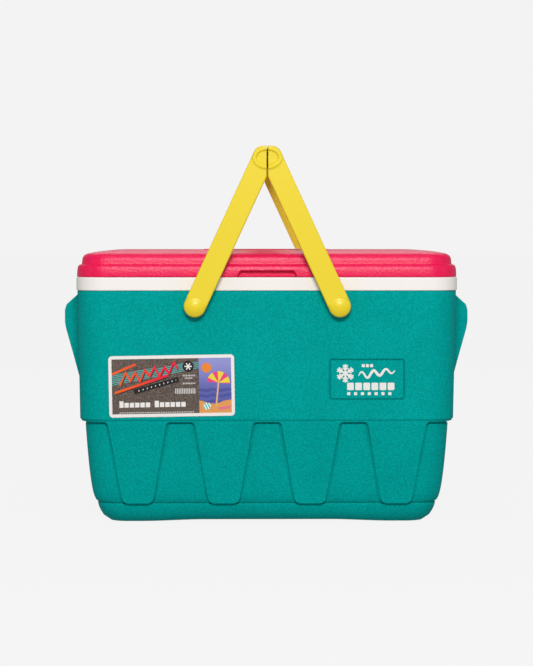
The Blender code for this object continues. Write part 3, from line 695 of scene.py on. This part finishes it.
# (height over the foot, inset) of the lid's outside
LID_TIERS = [(0.0, 0.0007), (0.0003, 0.0001), (0.0012, 0.0), (0.007, 0.0002), (0.0115, 0.0009)]
LID_TIERS += [(0.0134, 0.0019), (0.0145, 0.0036), (0.0147, 0.005), (0.015, 0.0056), (0.0164, 0.0058)]
LID_TIERS += [(0.0212, 0.0063), (0.0244, 0.0076), (0.0264, 0.01), (0.0278, 0.0135)]
# The same of its underside, from the middle out, and the insets of the crown's rings
LID_UNDER = [(0.0286, 0.1), (0.0262, 0.05), (0.0238, 0.0115), (0.017, 0.0086), (0.0128, 0.008)]
LID_UNDER += [(0.012, 0.003), (0.0, 0.0028)]
CROWN_INSETS = np.array([0.018, 0.023, 0.028, 0.034, 0.04, 0.048, 0.06, 0.08, 0.105, 0.125])
print("lid stands", round((LID_CROWN - LID_FOOT) / mm, 1), "mm over the rim")


# %% Build the lid
def notch(along, lift):
    """1 inside a finger notch, 0 outside. Lift is the height over the lid's foot."""
    half = NOTCH_HALF_FOOT + (NOTCH_HALF_TOP - NOTCH_HALF_FOOT) * np.clip(lift / NOTCH_HEIGHT, 0, 1.2)
    side = (np.abs(along) - half) / 2.6
    top = (lift - NOTCH_HEIGHT) / 0.9
    edge = pocket_depth(side, top, NOTCH_CORNER / 2)
    return 1 - rise(edge, -0.001, 0.0)


def lid_rows():
    """Height over the foot and inset of each ring, and how many of the rings are inside."""
    profile = eased(LID_TIERS)
    fine = np.arange(0.0004, 0.0115, 0.0006)
    tier = np.concatenate([[0.0], fine, profile[profile[:, 0] > 0.0115, 0]])
    inset = np.interp(tier, profile[:, 0], profile[:, 1])
    top = LID_CROWN - LID_FOOT
    climb = np.clip((CROWN_INSETS - inset[-1]) / (CROWN_REACH - inset[-1]), 0, 1)
    crown = top - (top - tier[-1]) * (1 - climb) ** 2
    under = np.array(LID_UNDER)
    lift = np.concatenate([under[:, 0], tier, crown])
    return lift, np.concatenate([under[:, 1], inset, CROWN_INSETS]), len(under)


def notched_wall(lift, end, reach, inner_rows):
    """Points along a front or rear wall, and how far each stands out. The notch is pushed in."""
    columns = graded(-reach, reach, (-NOTCH_HALF_TOP, NOTCH_HALF_TOP), 0.0004, 0.005, 0.006)[:-1]
    slope = (NOTCH_HALF_TOP - NOTCH_HALF_FOOT) / NOTCH_HEIGHT
    half = NOTCH_HALF_FOOT + slope * np.clip(lift, 0, NOTCH_HEIGHT)
    even = [-reach, -NOTCH_HALF_TOP, NOTCH_HALF_TOP, reach]
    along = np.array([np.interp(columns, even, [-e, -h, h, e]) for h, e in zip(half, end[:, 0])])
    proud = -NOTCH_DEPTH * notch(along, lift[:, None]) * (~inner_rows & (lift < 0.013))[:, None]
    behind = 1 - rise(np.abs(along), NOTCH_HALF_FOOT + 0.002, NOTCH_HALF_FOOT + 0.006)
    proud -= (NOTCH_DEPTH + 0.0005) * behind * (inner_rows & (lift < 0.0125))[:, None]
    return along, proud


def make_lid():
    lift, depth, inner_count = lid_rows()
    inner_rows = np.arange(len(lift)) < inner_count
    corner = np.maximum(LID_CORNER - depth * 0.9, 0.007)[:, None]
    walls = []
    for turn, far, long in ((0, 1, 0), (90, 0, 1), (180, 1, 0), (270, 0, 1)):
        distance, half_length = (LID_HALF[far] - depth)[:, None], (LID_HALF[long] - depth)[:, None]
        reach = LID_HALF[long] - LID_CORNER + LID_CORNER * math.pi / 4
        end = half_length - corner + corner * math.pi / 4
        if far == 1:
            along, proud = notched_wall(lift, end, reach, inner_rows)
        else:
            columns = graded(-reach, reach, (-reach, reach), 0.004, 0.02, 0.009)[:-1]
            along = columns[None, :] * end / reach
            proud = np.zeros_like(along)
        x, y = wall_points(distance, half_length, corner, along, proud, math.radians(turn))
        walls.append(np.stack([x, y, np.broadcast_to(LID_FOOT + lift[:, None], x.shape)], axis=-1))
    return closed_form("lid_cover", [np.concatenate(walls, axis=1)], crease=60)


settle(make_lid(), "lid", "pink_plastic", pink, "lid_shell")

# %% [markdown]
# ## Raised mark on the lid
# The top of the lid carries a shallow raised mark. A plain one is enough here: a row of three
# wave lines between two bars. Each line is a low ridge with a rounded section.


# %% Raised mark
# One side of a ridge: shares of its half width and of its height, or of its depth where under 0
RIDGE_SIDE = [(1.0, -1.0), (1.0, 0.2), (0.75, 0.75), (0.35, 1.0)]
RIDGE_SECTION = [*((-across, up) for across, up in RIDGE_SIDE), *reversed(RIDGE_SIDE)]
MARK_HEIGHT, MARK_DEPTH = 0.001, 0.0008


def normals(path):
    """Unit vectors square to a flat path."""
    step = np.gradient(path, axis=0)
    return np.stack([-step[:, 1], step[:, 0]], axis=-1) / np.hypot(step[:, 0], step[:, 1])[:, None]


def ridge(x, y, half_width):
    """A low ridge on the lid, with a rounded section and rounded ends, along a path in X and Y."""
    path = np.stack([x, y], axis=-1)
    base = LID_CROWN - 0.0002
    share = np.linspace(-1, 1, len(path))
    taper = np.sqrt(np.clip(1 - np.abs(share) ** 24, 0.02, 1))
    rings = []
    for point, side, wide in zip(path, normals(path), taper):
        spots = [(point + side * across * half_width * wide, up) for across, up in RIDGE_SECTION]
        rings.append([(*spot, base + up * (MARK_HEIGHT if up > 0 else MARK_DEPTH)) for spot, up in spots])
    return rings


def make_lid_mark():
    along = np.linspace(-0.07, 0.07, 57)
    stacks = []
    for row, offset in enumerate((-0.032, -0.02, -0.008)):
        wave = 0.0035 * np.sin(along / 0.011 + row * 0.9)
        stacks.append(ridge(along, offset + wave, 0.0022))
    for offset in (-0.046, 0.006):
        stacks.append(ridge(np.linspace(-0.076, 0.076, 21), np.full(21, offset), 0.0026))
    return closed_form("lid_wave_mark", stacks)


settle(make_lid_mark(), "lid", "pink_plastic", pink)

# %% [markdown]
# ## Basket handles
# Two yellow handles lean together. Each is a pair of flat arms with ball-shaped ends over the
# pivots, joined at the top by half of a D-shaped grip. The outer face of an arm is a grid laid
# along it, so that its height can be a formula: flat, rounded at the edges, domed over the
# pivot, with half of an oval pad and its sunken middle at the top. The rear arm is the front
# arm mirrored, and the left handle is the right one mirrored.

# %% Sizes of the handles
handle_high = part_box("right_handle")[1]
ARM_ROUND = handle_high.x - PIVOT[0]
HANDLE_TOP = handle_high.z
MATING_GAP = 0.0008
LEAN = math.radians(24.8)
ARM_INNER, ARM_OUTER = 0.1425, 0.1545
DOME_TOP = handle_high.y - 0.0001
DOME_RADIUS = 0.02
SHOULDER = 0.012
ARM_EDGE = 0.0018
PAD_OVAL, SUNK_OVAL = (0.0182, 0.0141), (0.0131, 0.0086)
PAD_HEIGHT, SUNK_DEPTH = 0.0012, 0.0019
GRIP_CENTRE, OVAL_CENTRE = 0.4347, 0.4338
GRIP_HALF = (0.0168, 0.0125)
RIB = 0.004
# The middle of an arm's rounded shoulder, and points across an arm and round its end
SHOULDER_ACROSS = ARM_ROUND - SHOULDER
shoulder_drop = SHOULDER_ACROSS * math.sin(LEAN)
SHOULDER_ALONG = (HANDLE_TOP - SHOULDER - PIVOT[1] - shoulder_drop) / math.cos(LEAN)
ARM_COLUMNS, END_ROWS = 89, 18
print("arm is", round(2 * ARM_ROUND / mm, 1), "mm wide")


# %% One arm
def arm_place(across, along):
    """X and Z of a point on the right-hand arm, from its distances across and along from the pivot."""
    x = PIVOT[0] - along * math.sin(LEAN) + across * math.cos(LEAN)
    z = PIVOT[1] + along * math.cos(LEAN) + across * math.sin(LEAN)
    return x, z


def oval_depth(x, z, half):
    """Rough distance inside an oval about the top of the grips."""
    return (1 - np.hypot(x / half[0], (z - OVAL_CENTRE) / half[1])) * half[1]


def arm_height(across, along):
    """How far out the arm's face is at each point."""
    x, z = arm_place(across, along)
    radius = np.minimum(np.hypot(across, along), ARM_ROUND)
    dome = DOME_TOP - DOME_RADIUS + np.sqrt(DOME_RADIUS**2 - radius**2)
    shank = np.where(along < 0.015, np.maximum(ARM_OUTER, dome), ARM_OUTER)
    height = dome + (shank - dome) * rise(along, 0.0, 0.008)
    height = height + PAD_HEIGHT * rise(oval_depth(x, z, PAD_OVAL), -0.0003, 0.0011)
    height = height - SUNK_DEPTH * rise(oval_depth(x, z, SUNK_OVAL), -0.0006, 0.001)
    edge = np.where(along < 0, ARM_ROUND - np.hypot(across, along), ARM_ROUND - np.abs(across))
    edge = np.minimum(edge, np.minimum((x - MATING_GAP) * 3, HANDLE_TOP - z))
    over = (across > SHOULDER_ACROSS) & (z > HANDLE_TOP - SHOULDER)
    shoulder = SHOULDER - np.hypot(across - SHOULDER_ACROSS, along - SHOULDER_ALONG)
    edge = np.where(over, np.minimum(edge, shoulder), edge)
    bend = 1 - np.clip(edge / ARM_EDGE, 0, 1)
    return height - ARM_EDGE * (1 - np.sqrt(1 - bend**2))


def arm_rows():
    """Distances across and along for the grid of an arm's face."""
    share = np.sin(np.linspace(-math.pi / 2, math.pi / 2, ARM_COLUMNS))
    turn = np.linspace(0.05, math.pi / 2, END_ROWS)[:-1, None]
    end_across, end_along = ARM_ROUND * np.sin(turn) * share, -ARM_ROUND * np.cos(turn) + 0 * share
    across = ARM_ROUND * share
    to_middle = (PIVOT[0] - MATING_GAP + across * math.cos(LEAN)) / math.sin(LEAN)
    to_top = (HANDLE_TOP - PIVOT[1] - across * math.sin(LEAN)) / math.cos(LEAN)
    to_arc = SHOULDER_ALONG + np.sqrt(np.maximum(SHOULDER**2 - (across - SHOULDER_ACROSS) ** 2, 0))
    on_arc = across > SHOULDER_ACROSS + SHOULDER * math.sin(LEAN)
    stop = np.minimum(to_middle, np.where(on_arc, to_arc, to_top))
    foot_share, top_share = 0.1, 0.76
    low = np.linspace(0, foot_share, 20)
    shank = np.linspace(foot_share, top_share, 16)[1:]
    top = top_share + (1 - top_share) * np.sin(np.linspace(0, math.pi / 2, 130))[1:]
    length = np.concatenate([low, shank, top])[:, None]
    return np.concatenate([end_across, across + 0 * length]), np.concatenate([end_along, stop * length])


def make_arm(name, side_y):
    across, along = arm_rows()
    x, z = arm_place(across, along)
    y = arm_height(across, along)
    rows, columns = x.shape
    points = np.stack([x, side_y * y, z], axis=-1).reshape(-1, 3)
    index = np.arange(rows * columns).reshape(rows, columns)
    corners = (index[:-1, :-1], index[:-1, 1:], index[1:, 1:], index[1:, :-1])
    faces = np.stack(corners, axis=-1).reshape(-1, 4).tolist()
    border = [*index[0], *index[1:, -1], *index[-1, -2::-1], *index[-2:0:-1, 0]]
    inner = points[border].copy()
    inner[:, 1] = side_y * ARM_INNER
    first = len(points)
    count = len(border)
    for here in range(count):
        there = (here + 1) % count
        faces.append([int(border[here]), int(border[there]), first + there, first + here])
    faces.append(list(range(first, first + count)))
    return make_piece(name, np.concatenate([points, inner]).tolist(), faces, crease=30)


# %% Rooms cored out of the arms and the grip
# Where an arm's rooms start and stop, half of their width and how far off the middle they lie
ARM_ROOMS = (0.019, 0.145)
ROOM_HALF, ROOM_SHIFT = 0.0065, 0.003
PIN_BORE, BORE_END = 0.0053, 0.1509
GRIP_ROOM = ((-0.0007, -0.008), (0.01, -0.008), (0.01, 0.008), (-0.0007, 0.008))


def handle_rooms():
    """Boxes cut from the hidden faces, which keep the walls even in thickness."""
    stacks = []
    length = (ARM_ROOMS[1] - ARM_ROOMS[0] - 2 * RIB) / 3
    for side_y in (FRONT, REAR):
        for number in range(3):
            start = ARM_ROOMS[0] + number * (length + RIB)
            corners = ((-1, start), (1, start), (1, start + length), (-1, start + length))
            outline = [arm_place(side * ROOM_HALF + ROOM_SHIFT, along) for side, along in corners]
            stacks.append(upright(outline, (side_y * (ARM_INNER - 0.002), side_y * (ARM_INNER + 0.008))))
        stacks.append([ring_around(PIVOT, PIN_BORE, side_y * y) for y in (ARM_INNER - 0.002, BORE_END)])
    bay = (2 * ARM_INNER - 4 * RIB) / 3
    outline = [(x, GRIP_CENTRE + z) for x, z in GRIP_ROOM]
    for number in (-1, 0, 1):
        middle = number * (bay + RIB)
        stacks.append(upright(outline, (middle - bay / 2, middle + bay / 2)))
    return closed_form("handle_rooms", stacks)


# %% Both handles
def make_handle():
    handle = make_arm("right_basket_handle", FRONT)
    rear = make_arm("rear_arm", REAR)
    turn = np.linspace(-math.pi / 2, math.pi / 2, 33)
    x, z = MATING_GAP + GRIP_HALF[0] * np.cos(turn), GRIP_CENTRE + GRIP_HALF[1] * np.sin(turn)
    reach = ARM_INNER + 0.003
    grip = closed_form("grip", [upright(list(zip(x, z)), (-reach, reach))])
    cut(handle, rear, "UNION")
    cut(handle, grip, "UNION")
    cut(handle, handle_rooms())
    handle.data.shade_smooth()
    handle.data.set_sharp_from_angle(angle=math.radians(32))
    return handle


def mirrored(piece, name):
    """A copy of a piece on the other side of the middle plane."""
    mesh = piece.data.copy()
    mesh.transform(Matrix.Scale(-1, 4, Vector((1, 0, 0))))
    mesh.flip_normals()
    twin = bpy.data.objects.new(name, mesh)
    bpy.context.scene.collection.objects.link(twin)
    return twin


right_handle = make_handle()
left_handle = mirrored(right_handle, "left_basket_handle")
settle(right_handle, "right_handle", "yellow_plastic", yellow, "right_handle")
settle(left_handle, "left_handle", "yellow_plastic", yellow, "left_handle")

# %% [markdown]
# ## Emblem
# The emblem is printed in white on the flush pad at the front. It is a plain mark: a
# snowflake, a wave, a row of blocks and a row of short bars. Each shape is a thin tile that
# stands a fifth of a millimetre proud, as thick pad-printed ink does.


# %% Emblem
def front_face(across, up, proud):
    """A point on the front of the skirt, standing proud of it."""
    share = (up - SKIRT_FOOT) / (SHELL_TOP - SKIRT_FOOT)
    return (across, -(SKIRT_HALF[1] + SKIRT_GROWTH[1] * share) - proud, up)


def tile(outline, centre, proud):
    """A thin tile on the front face. Its outline is in millimetres about a centre."""
    spots = [(centre[0] + x * mm, centre[1] + z * mm) for x, z in outline]
    return [[front_face(x, z, depth) for x, z in spots] for depth in (-0.2 * mm, proud)]


def polar(centre, radius, turn):
    return (centre[0] + radius * math.cos(turn), centre[1] + radius * math.sin(turn))


def rounded_bar(start, stop, half_width, steps=8):
    """The outline of a bar with round ends between two points."""
    heading = math.atan2(stop[1] - start[1], stop[0] - start[0])
    outline = []
    for centre, turn in ((stop, -90), (start, 90)):
        for step in range(steps + 1):
            angle = heading + math.radians(turn + 180 * step / steps)
            outline.append(polar(centre, half_width, angle))
    return outline


def rounded_block(centre, half, corner, steps=5):
    ring = level_ring(half, corner, 0.0, steps)
    return [(centre[0] + x, centre[1] + z) for x, z, _ in ring]


def snowflake(centre, radius, half_width):
    """Outlines of six arms, each with two pairs of twigs."""
    outlines = []
    for spoke in range(6):
        turn = math.radians(60 * spoke + 30)
        outlines.append(rounded_bar(centre, polar(centre, radius, turn), half_width))
        for share in (0.45, 0.74):
            fork = polar(centre, share * radius, turn)
            for lean in (-50, 50):
                twig = polar(fork, 0.3 * radius, turn + math.radians(lean))
                outlines.append(rounded_bar(fork, twig, half_width * 0.8))
    return outlines


def wave_stroke(start, stop, swing, humps, width):
    """The outline of a wave whose line swells and thins like a brush stroke."""
    share = np.linspace(0, 1, 97)
    x = start[0] + (stop[0] - start[0]) * share
    hump = swing * np.sin(share * humps * 2 * math.pi) * (1 - 0.35 * share)
    line = np.stack([x, start[1] + (stop[1] - start[1]) * share + hump], axis=-1)
    half = width * (0.25 + 0.75 * np.sin(math.pi * share) ** 0.6)[:, None]
    side = normals(line) * half
    return [*(line + side).tolist(), *(line - side)[::-1].tolist()]


# Rows of blocks: place of the first block, pitch, half size, corner and count
BLOCK_ROWS = [((-19.5, -8.0), 9.6, (4.0, 4.4), 1.3, 6)]
BLOCK_ROWS += [((-21.5, -16.6), 8.1, (1.9, 1.8), 0.7, 7)]
BLOCK_ROWS += [((-4.4, 16.6), 4.9, (1.8, 1.8), 0.6, 3)]
# Each tile is a hair prouder than the one before, so no two faces lie in one plane
INK_HEIGHT, INK_STEP = 0.16, 0.002


def make_emblem():
    outlines = snowflake((-25.6, 7.4), 9.8, 1.15)
    outlines.append(wave_stroke((-10.0, 4.6), (33.0, 11.0), 4.2, 3, 1.6))
    for (x, z), pitch, half, corner, count in BLOCK_ROWS:
        outlines += [rounded_block((x + pitch * number, z), half, corner) for number in range(count)]
    stacks = []
    for number, outline in enumerate(outlines):
        stacks.append(tile(outline, PAD_CENTRE, (INK_HEIGHT + INK_STEP * number) * mm))
    return closed_form("emblem_print", stacks)


settle(make_emblem(), "cooler_body", "white_plastic", ink)

# %% [markdown]
# ## Front label
# A glossy sticker sits a little askew on the front. Its print is a generic picture in place of
# words: brush strokes in sunset colours on speckled grey, thin teal lines, a dark bar, light
# blocks where lettering would be, and an empty beach at the right. It is drawn with masks,
# each 1 inside one shape, in millimetres from the middle of the label.

# %% Label art helpers
LABEL_CENTRE = (-0.1129, 0.1646)
LABEL_HALF = (0.0743, 0.0364)
LABEL_CORNER = 0.0045
LABEL_TURN = math.radians(0.93)
LABEL_FACE = 0.0007
SOFT = 0.25


def bar(u, v, centre, half, tilt=0.0):
    """1 inside a bar turned by tilt degrees."""
    c, s = math.cos(math.radians(tilt)), math.sin(math.radians(tilt))
    along = (u - centre[0]) * c + (v - centre[1]) * s
    across = (v - centre[1]) * c - (u - centre[0]) * s
    return abs(along).below(half[0], SOFT) * abs(across).below(half[1], SOFT)


def disc(u, v, centre, radius):
    far = ((u - centre[0]) * (u - centre[0]) + (v - centre[1]) * (v - centre[1])).maths("SQRT")
    return far.below(radius, SOFT)


def ticks(along, pitch, share):
    """1 over a share of each pitch."""
    return (along / pitch).maths("FRACT").below(share, 0.08)


# %% Beach picture
def beach(u, v, grain):
    """The picture at the right of the label: sky, sun, sea, sand and a sunshade."""
    swell = ((v * 0.9 + (u * 0.35).maths("SINE") * 0.8).maths("SINE") * 0.5 + 0.5) * (v + 4).below(0.0, 1.0)
    sky_blue = ((v + 10) / 42).rise(0.0, 1.0).colour_mix((0.1, 0.11, 0.38), (0.27, 0.27, 0.58))
    picture = (swell * 0.6).colour_mix(sky_blue, (0.03, 0.045, 0.22))
    picture = disc(u, v, (41.5, 21.0), 5.6).colour_mix(picture, (0.8, 0.22, 0.02))
    sand = (v + 19 + (u * 0.16).maths("SINE") * 2.2 + grain * 1.5).below(0.0, 0.5)
    picture = sand.colour_mix(picture, (0.7, 0.3, 0.08))
    picture = bar(u, v, (54.0, -9.0), (15.5, 0.8), 84).colour_mix(picture, (0.72, 0.42, 0.2))
    shade_u, shade_v = u - 55.2, v - 3.0
    canopy = disc(shade_u, shade_v, (0, 0), 13.5) * (shade_v + shade_u * 0.1).rise(-0.2, 0.2)
    wedge = shade_v.maths("ARCTAN2", shade_u + 0.001)
    stripe = ticks(wedge, 1.047, 0.5)
    cloth = stripe.colour_mix((0.76, 0.05, 0.2), (0.8, 0.6, 0.04))
    picture = canopy.colour_mix(picture, cloth)
    ball = disc(u, v, (41.5, -24.5), 4.2)
    segments = ticks(u + v * 0.5, 3.4, 0.5).colour_mix((0.85, 0.83, 0.8), (0.05, 0.5, 0.42))
    picture = ball.colour_mix(picture, segments)
    return bar(u, v, (62.0, -27.0), (6.5, 1.5), 6).colour_mix(picture, (0.74, 0.15, 0.26))


# %% Label print
BLACK_INK, WHITE_INK = (0.01, 0.008, 0.008), (0.78, 0.745, 0.72)
BADGE = (19.9, 22.9)


def scrawl(u, v, ragged):
    """1 inside a loose brush line that runs up and down along a slant."""
    swing = (u * 0.55).maths("SINE").maths("ARCSINE") * 3.3 + (u * 0.23 + 0.9).maths("SINE") * 1.7
    line = (v - u * 0.2 - 20.5 - swing + ragged) * 0.62
    return abs(line).below(1.3, 0.3) * (u + 62).rise(0, 0.3) * (u - 7).below(0, 0.3)


def brushwork(u, v, ragged, art):
    """Sunset strokes over their shadow, and a dark bar with light dots."""
    rough = v + ragged
    shadow = bar(u, rough, (-35.2, 1.5), (33.0, 1.35), 17.7).higher(scrawl(u - 0.9, v + 1.0, ragged))
    art = shadow.colour_mix(art, (0.02, 0.012, 0.01))
    sunset = ((u + 66) / 60).rise(0.0, 1.0).colour_mix((0.8, 0.1, 0.005), (0.78, 0.006, 0.035))
    strokes = scrawl(u, v, ragged).higher(bar(u, rough, (-57.2, 20.3), (16.4, 1.25), 22))
    strokes = strokes.higher(bar(u, rough, (-35.8, 2.6), (33.0, 1.35), 17.7))
    art = strokes.colour_mix(art, sunset)
    art = bar(u, v, (-18.0, 0.7), (27.4, 2.9), 15.2).colour_mix(art, BLACK_INK)
    dots = bar(u, v, (-18.0, 0.7), (24.0, 0.65), 15.2) * ticks(u, 4.9, 0.18)
    return dots.colour_mix(art, (0.7, 0.66, 0.64))


def light_blocks(u, v, art):
    """Light blocks where lettering would be, and a badge with a star."""
    blocks = bar(u, v, (-43.5, -21.9), (18.4, 2.7)) * ticks(u + 62.5, 6.3, 0.78)
    blocks = blocks.higher(bar(u, v, (-1.8, -21.9), (18.4, 2.7)) * ticks(u + 20.6, 6.3, 0.78))
    for initial in (-59.6, -17.9):
        blocks = blocks.higher(bar(u, v, (initial, -21.0), (2.3, 3.7)))
    art = blocks.colour_mix(art, WHITE_INK)
    narrow = bar(u, v, (16.3, -6.2), (12.3, 3.0)) * ticks(u, 2.05, 0.55)
    for centre, half in (((20.4, 12.1), (7.6, 0.8)), ((20.4, 9.0), (4.4, 0.8)), ((20.4, 2.8), (7.8, 0.8))):
        narrow = narrow.higher(bar(u, v, centre, half) * ticks(u, 1.9, 0.6))
    narrow = narrow.higher(bar(u, v, (-18.0, -31.0), (44.0, 0.4)) * ticks(u, 2.7, 0.7))
    art = (narrow * 0.75).colour_mix(art, (0.72, 0.69, 0.67))
    art = disc(u, v, BADGE, 6.6).colour_mix(art, BLACK_INK)
    star = bar(u, v, BADGE, (4.2, 0.6))
    for tilt in (60, 120):
        star = star.higher(bar(u, v, BADGE, (4.2, 0.6), tilt))
    return star.colour_mix(art, WHITE_INK)


def label_print():
    material, shader, start = new_finish("printed_label_art")
    where = start.node("ShaderNodeTexCoord", {}, {}, 3)
    x = start.node("ShaderNodeSeparateXYZ", {}, {"Vector": where}, 0)
    z = start.node("ShaderNodeSeparateXYZ", {}, {"Vector": where}, 2)
    turn_c, turn_s = math.cos(LABEL_TURN) / mm, math.sin(LABEL_TURN) / mm
    u = (x - LABEL_CENTRE[0]) * turn_c + (z - LABEL_CENTRE[1]) * turn_s
    v = (z - LABEL_CENTRE[1]) * turn_c - (x - LABEL_CENTRE[0]) * turn_s
    grain = noise(start, where, 900.0, 2.0)
    art = grain.rise(0.36, 0.66).colour_mix((0.05, 0.038, 0.031), (0.17, 0.127, 0.104))
    band = v - u * 0.186
    lines = ticks(band, 2.1, 0.36) * band.rise(14.6, 15.0) * (band + u * 0.045).below(24.4, 0.4)
    art = (lines * (u - 32.0).below(0, 0.3)).colour_mix(art, (0.07, 0.48, 0.47))
    art = light_blocks(u, v, brushwork(u, v, grain * 0.8 - 0.4, art))
    art = (u - 32.3).rise(0, 0.2).colour_mix(art, beach(u, v, grain))
    inside = abs(u).below(70.4, 0.3) * abs(v).below(32.4, 0.3)
    art = inside.colour_mix((0.79, 0.75, 0.725), art)
    wire(art, shader, "Base Color")
    wire(grain * 0.12 + 0.3, shader, "Roughness")
    shader.inputs["Specular IOR Level"].default_value = 0.35
    return material


def make_label():
    outline = level_ring(LABEL_HALF, LABEL_CORNER, 0.0, 10)
    edge = level_ring(shrunk(LABEL_HALF, 0.0001), LABEL_CORNER - 0.0001, 0.0, 10)
    c, s = math.cos(LABEL_TURN), math.sin(LABEL_TURN)
    rings = []
    for ring, proud in ((outline, 0.0003), (outline, LABEL_FACE - 0.0001), (edge, LABEL_FACE)):
        spots = [(LABEL_CENTRE[0] + x * c - z * s, LABEL_CENTRE[1] + x * s + z * c) for x, z, _ in ring]
        rings.append([front_face(x, z, proud) for x, z in spots])
    return closed_form("front_sticker", [rings], crease=30)


settle(make_label(), "cooler_body", "printed_label", label_print(), "front_label")

# %% [markdown]
# ## Carried-over CAD pieces
# Pins, clips, bushes, plugs, foam and the inner lid keep their CAD shape, which is already
# right, and get the finishes made above.

# %% Finishes of the CAD pieces
CAD_FINISHES = {"pivot_pin": steel, "pin_clip": steel, "pivot_bush": grey}
CAD_FINISHES |= {"body_foam": foam, "lid_foam": foam}
CAD_FINISHES |= {"base_fill_plug": teal, "lid_fill_plug": white, "lid_liner": white}
finished = 0
for name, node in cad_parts.items():
    for start, finish in CAD_FINISHES.items():
        if name.startswith(start):
            for place in node.material_slots:
                place.material = finish
            finished += 1
print(finished, "CAD pieces have a finish")
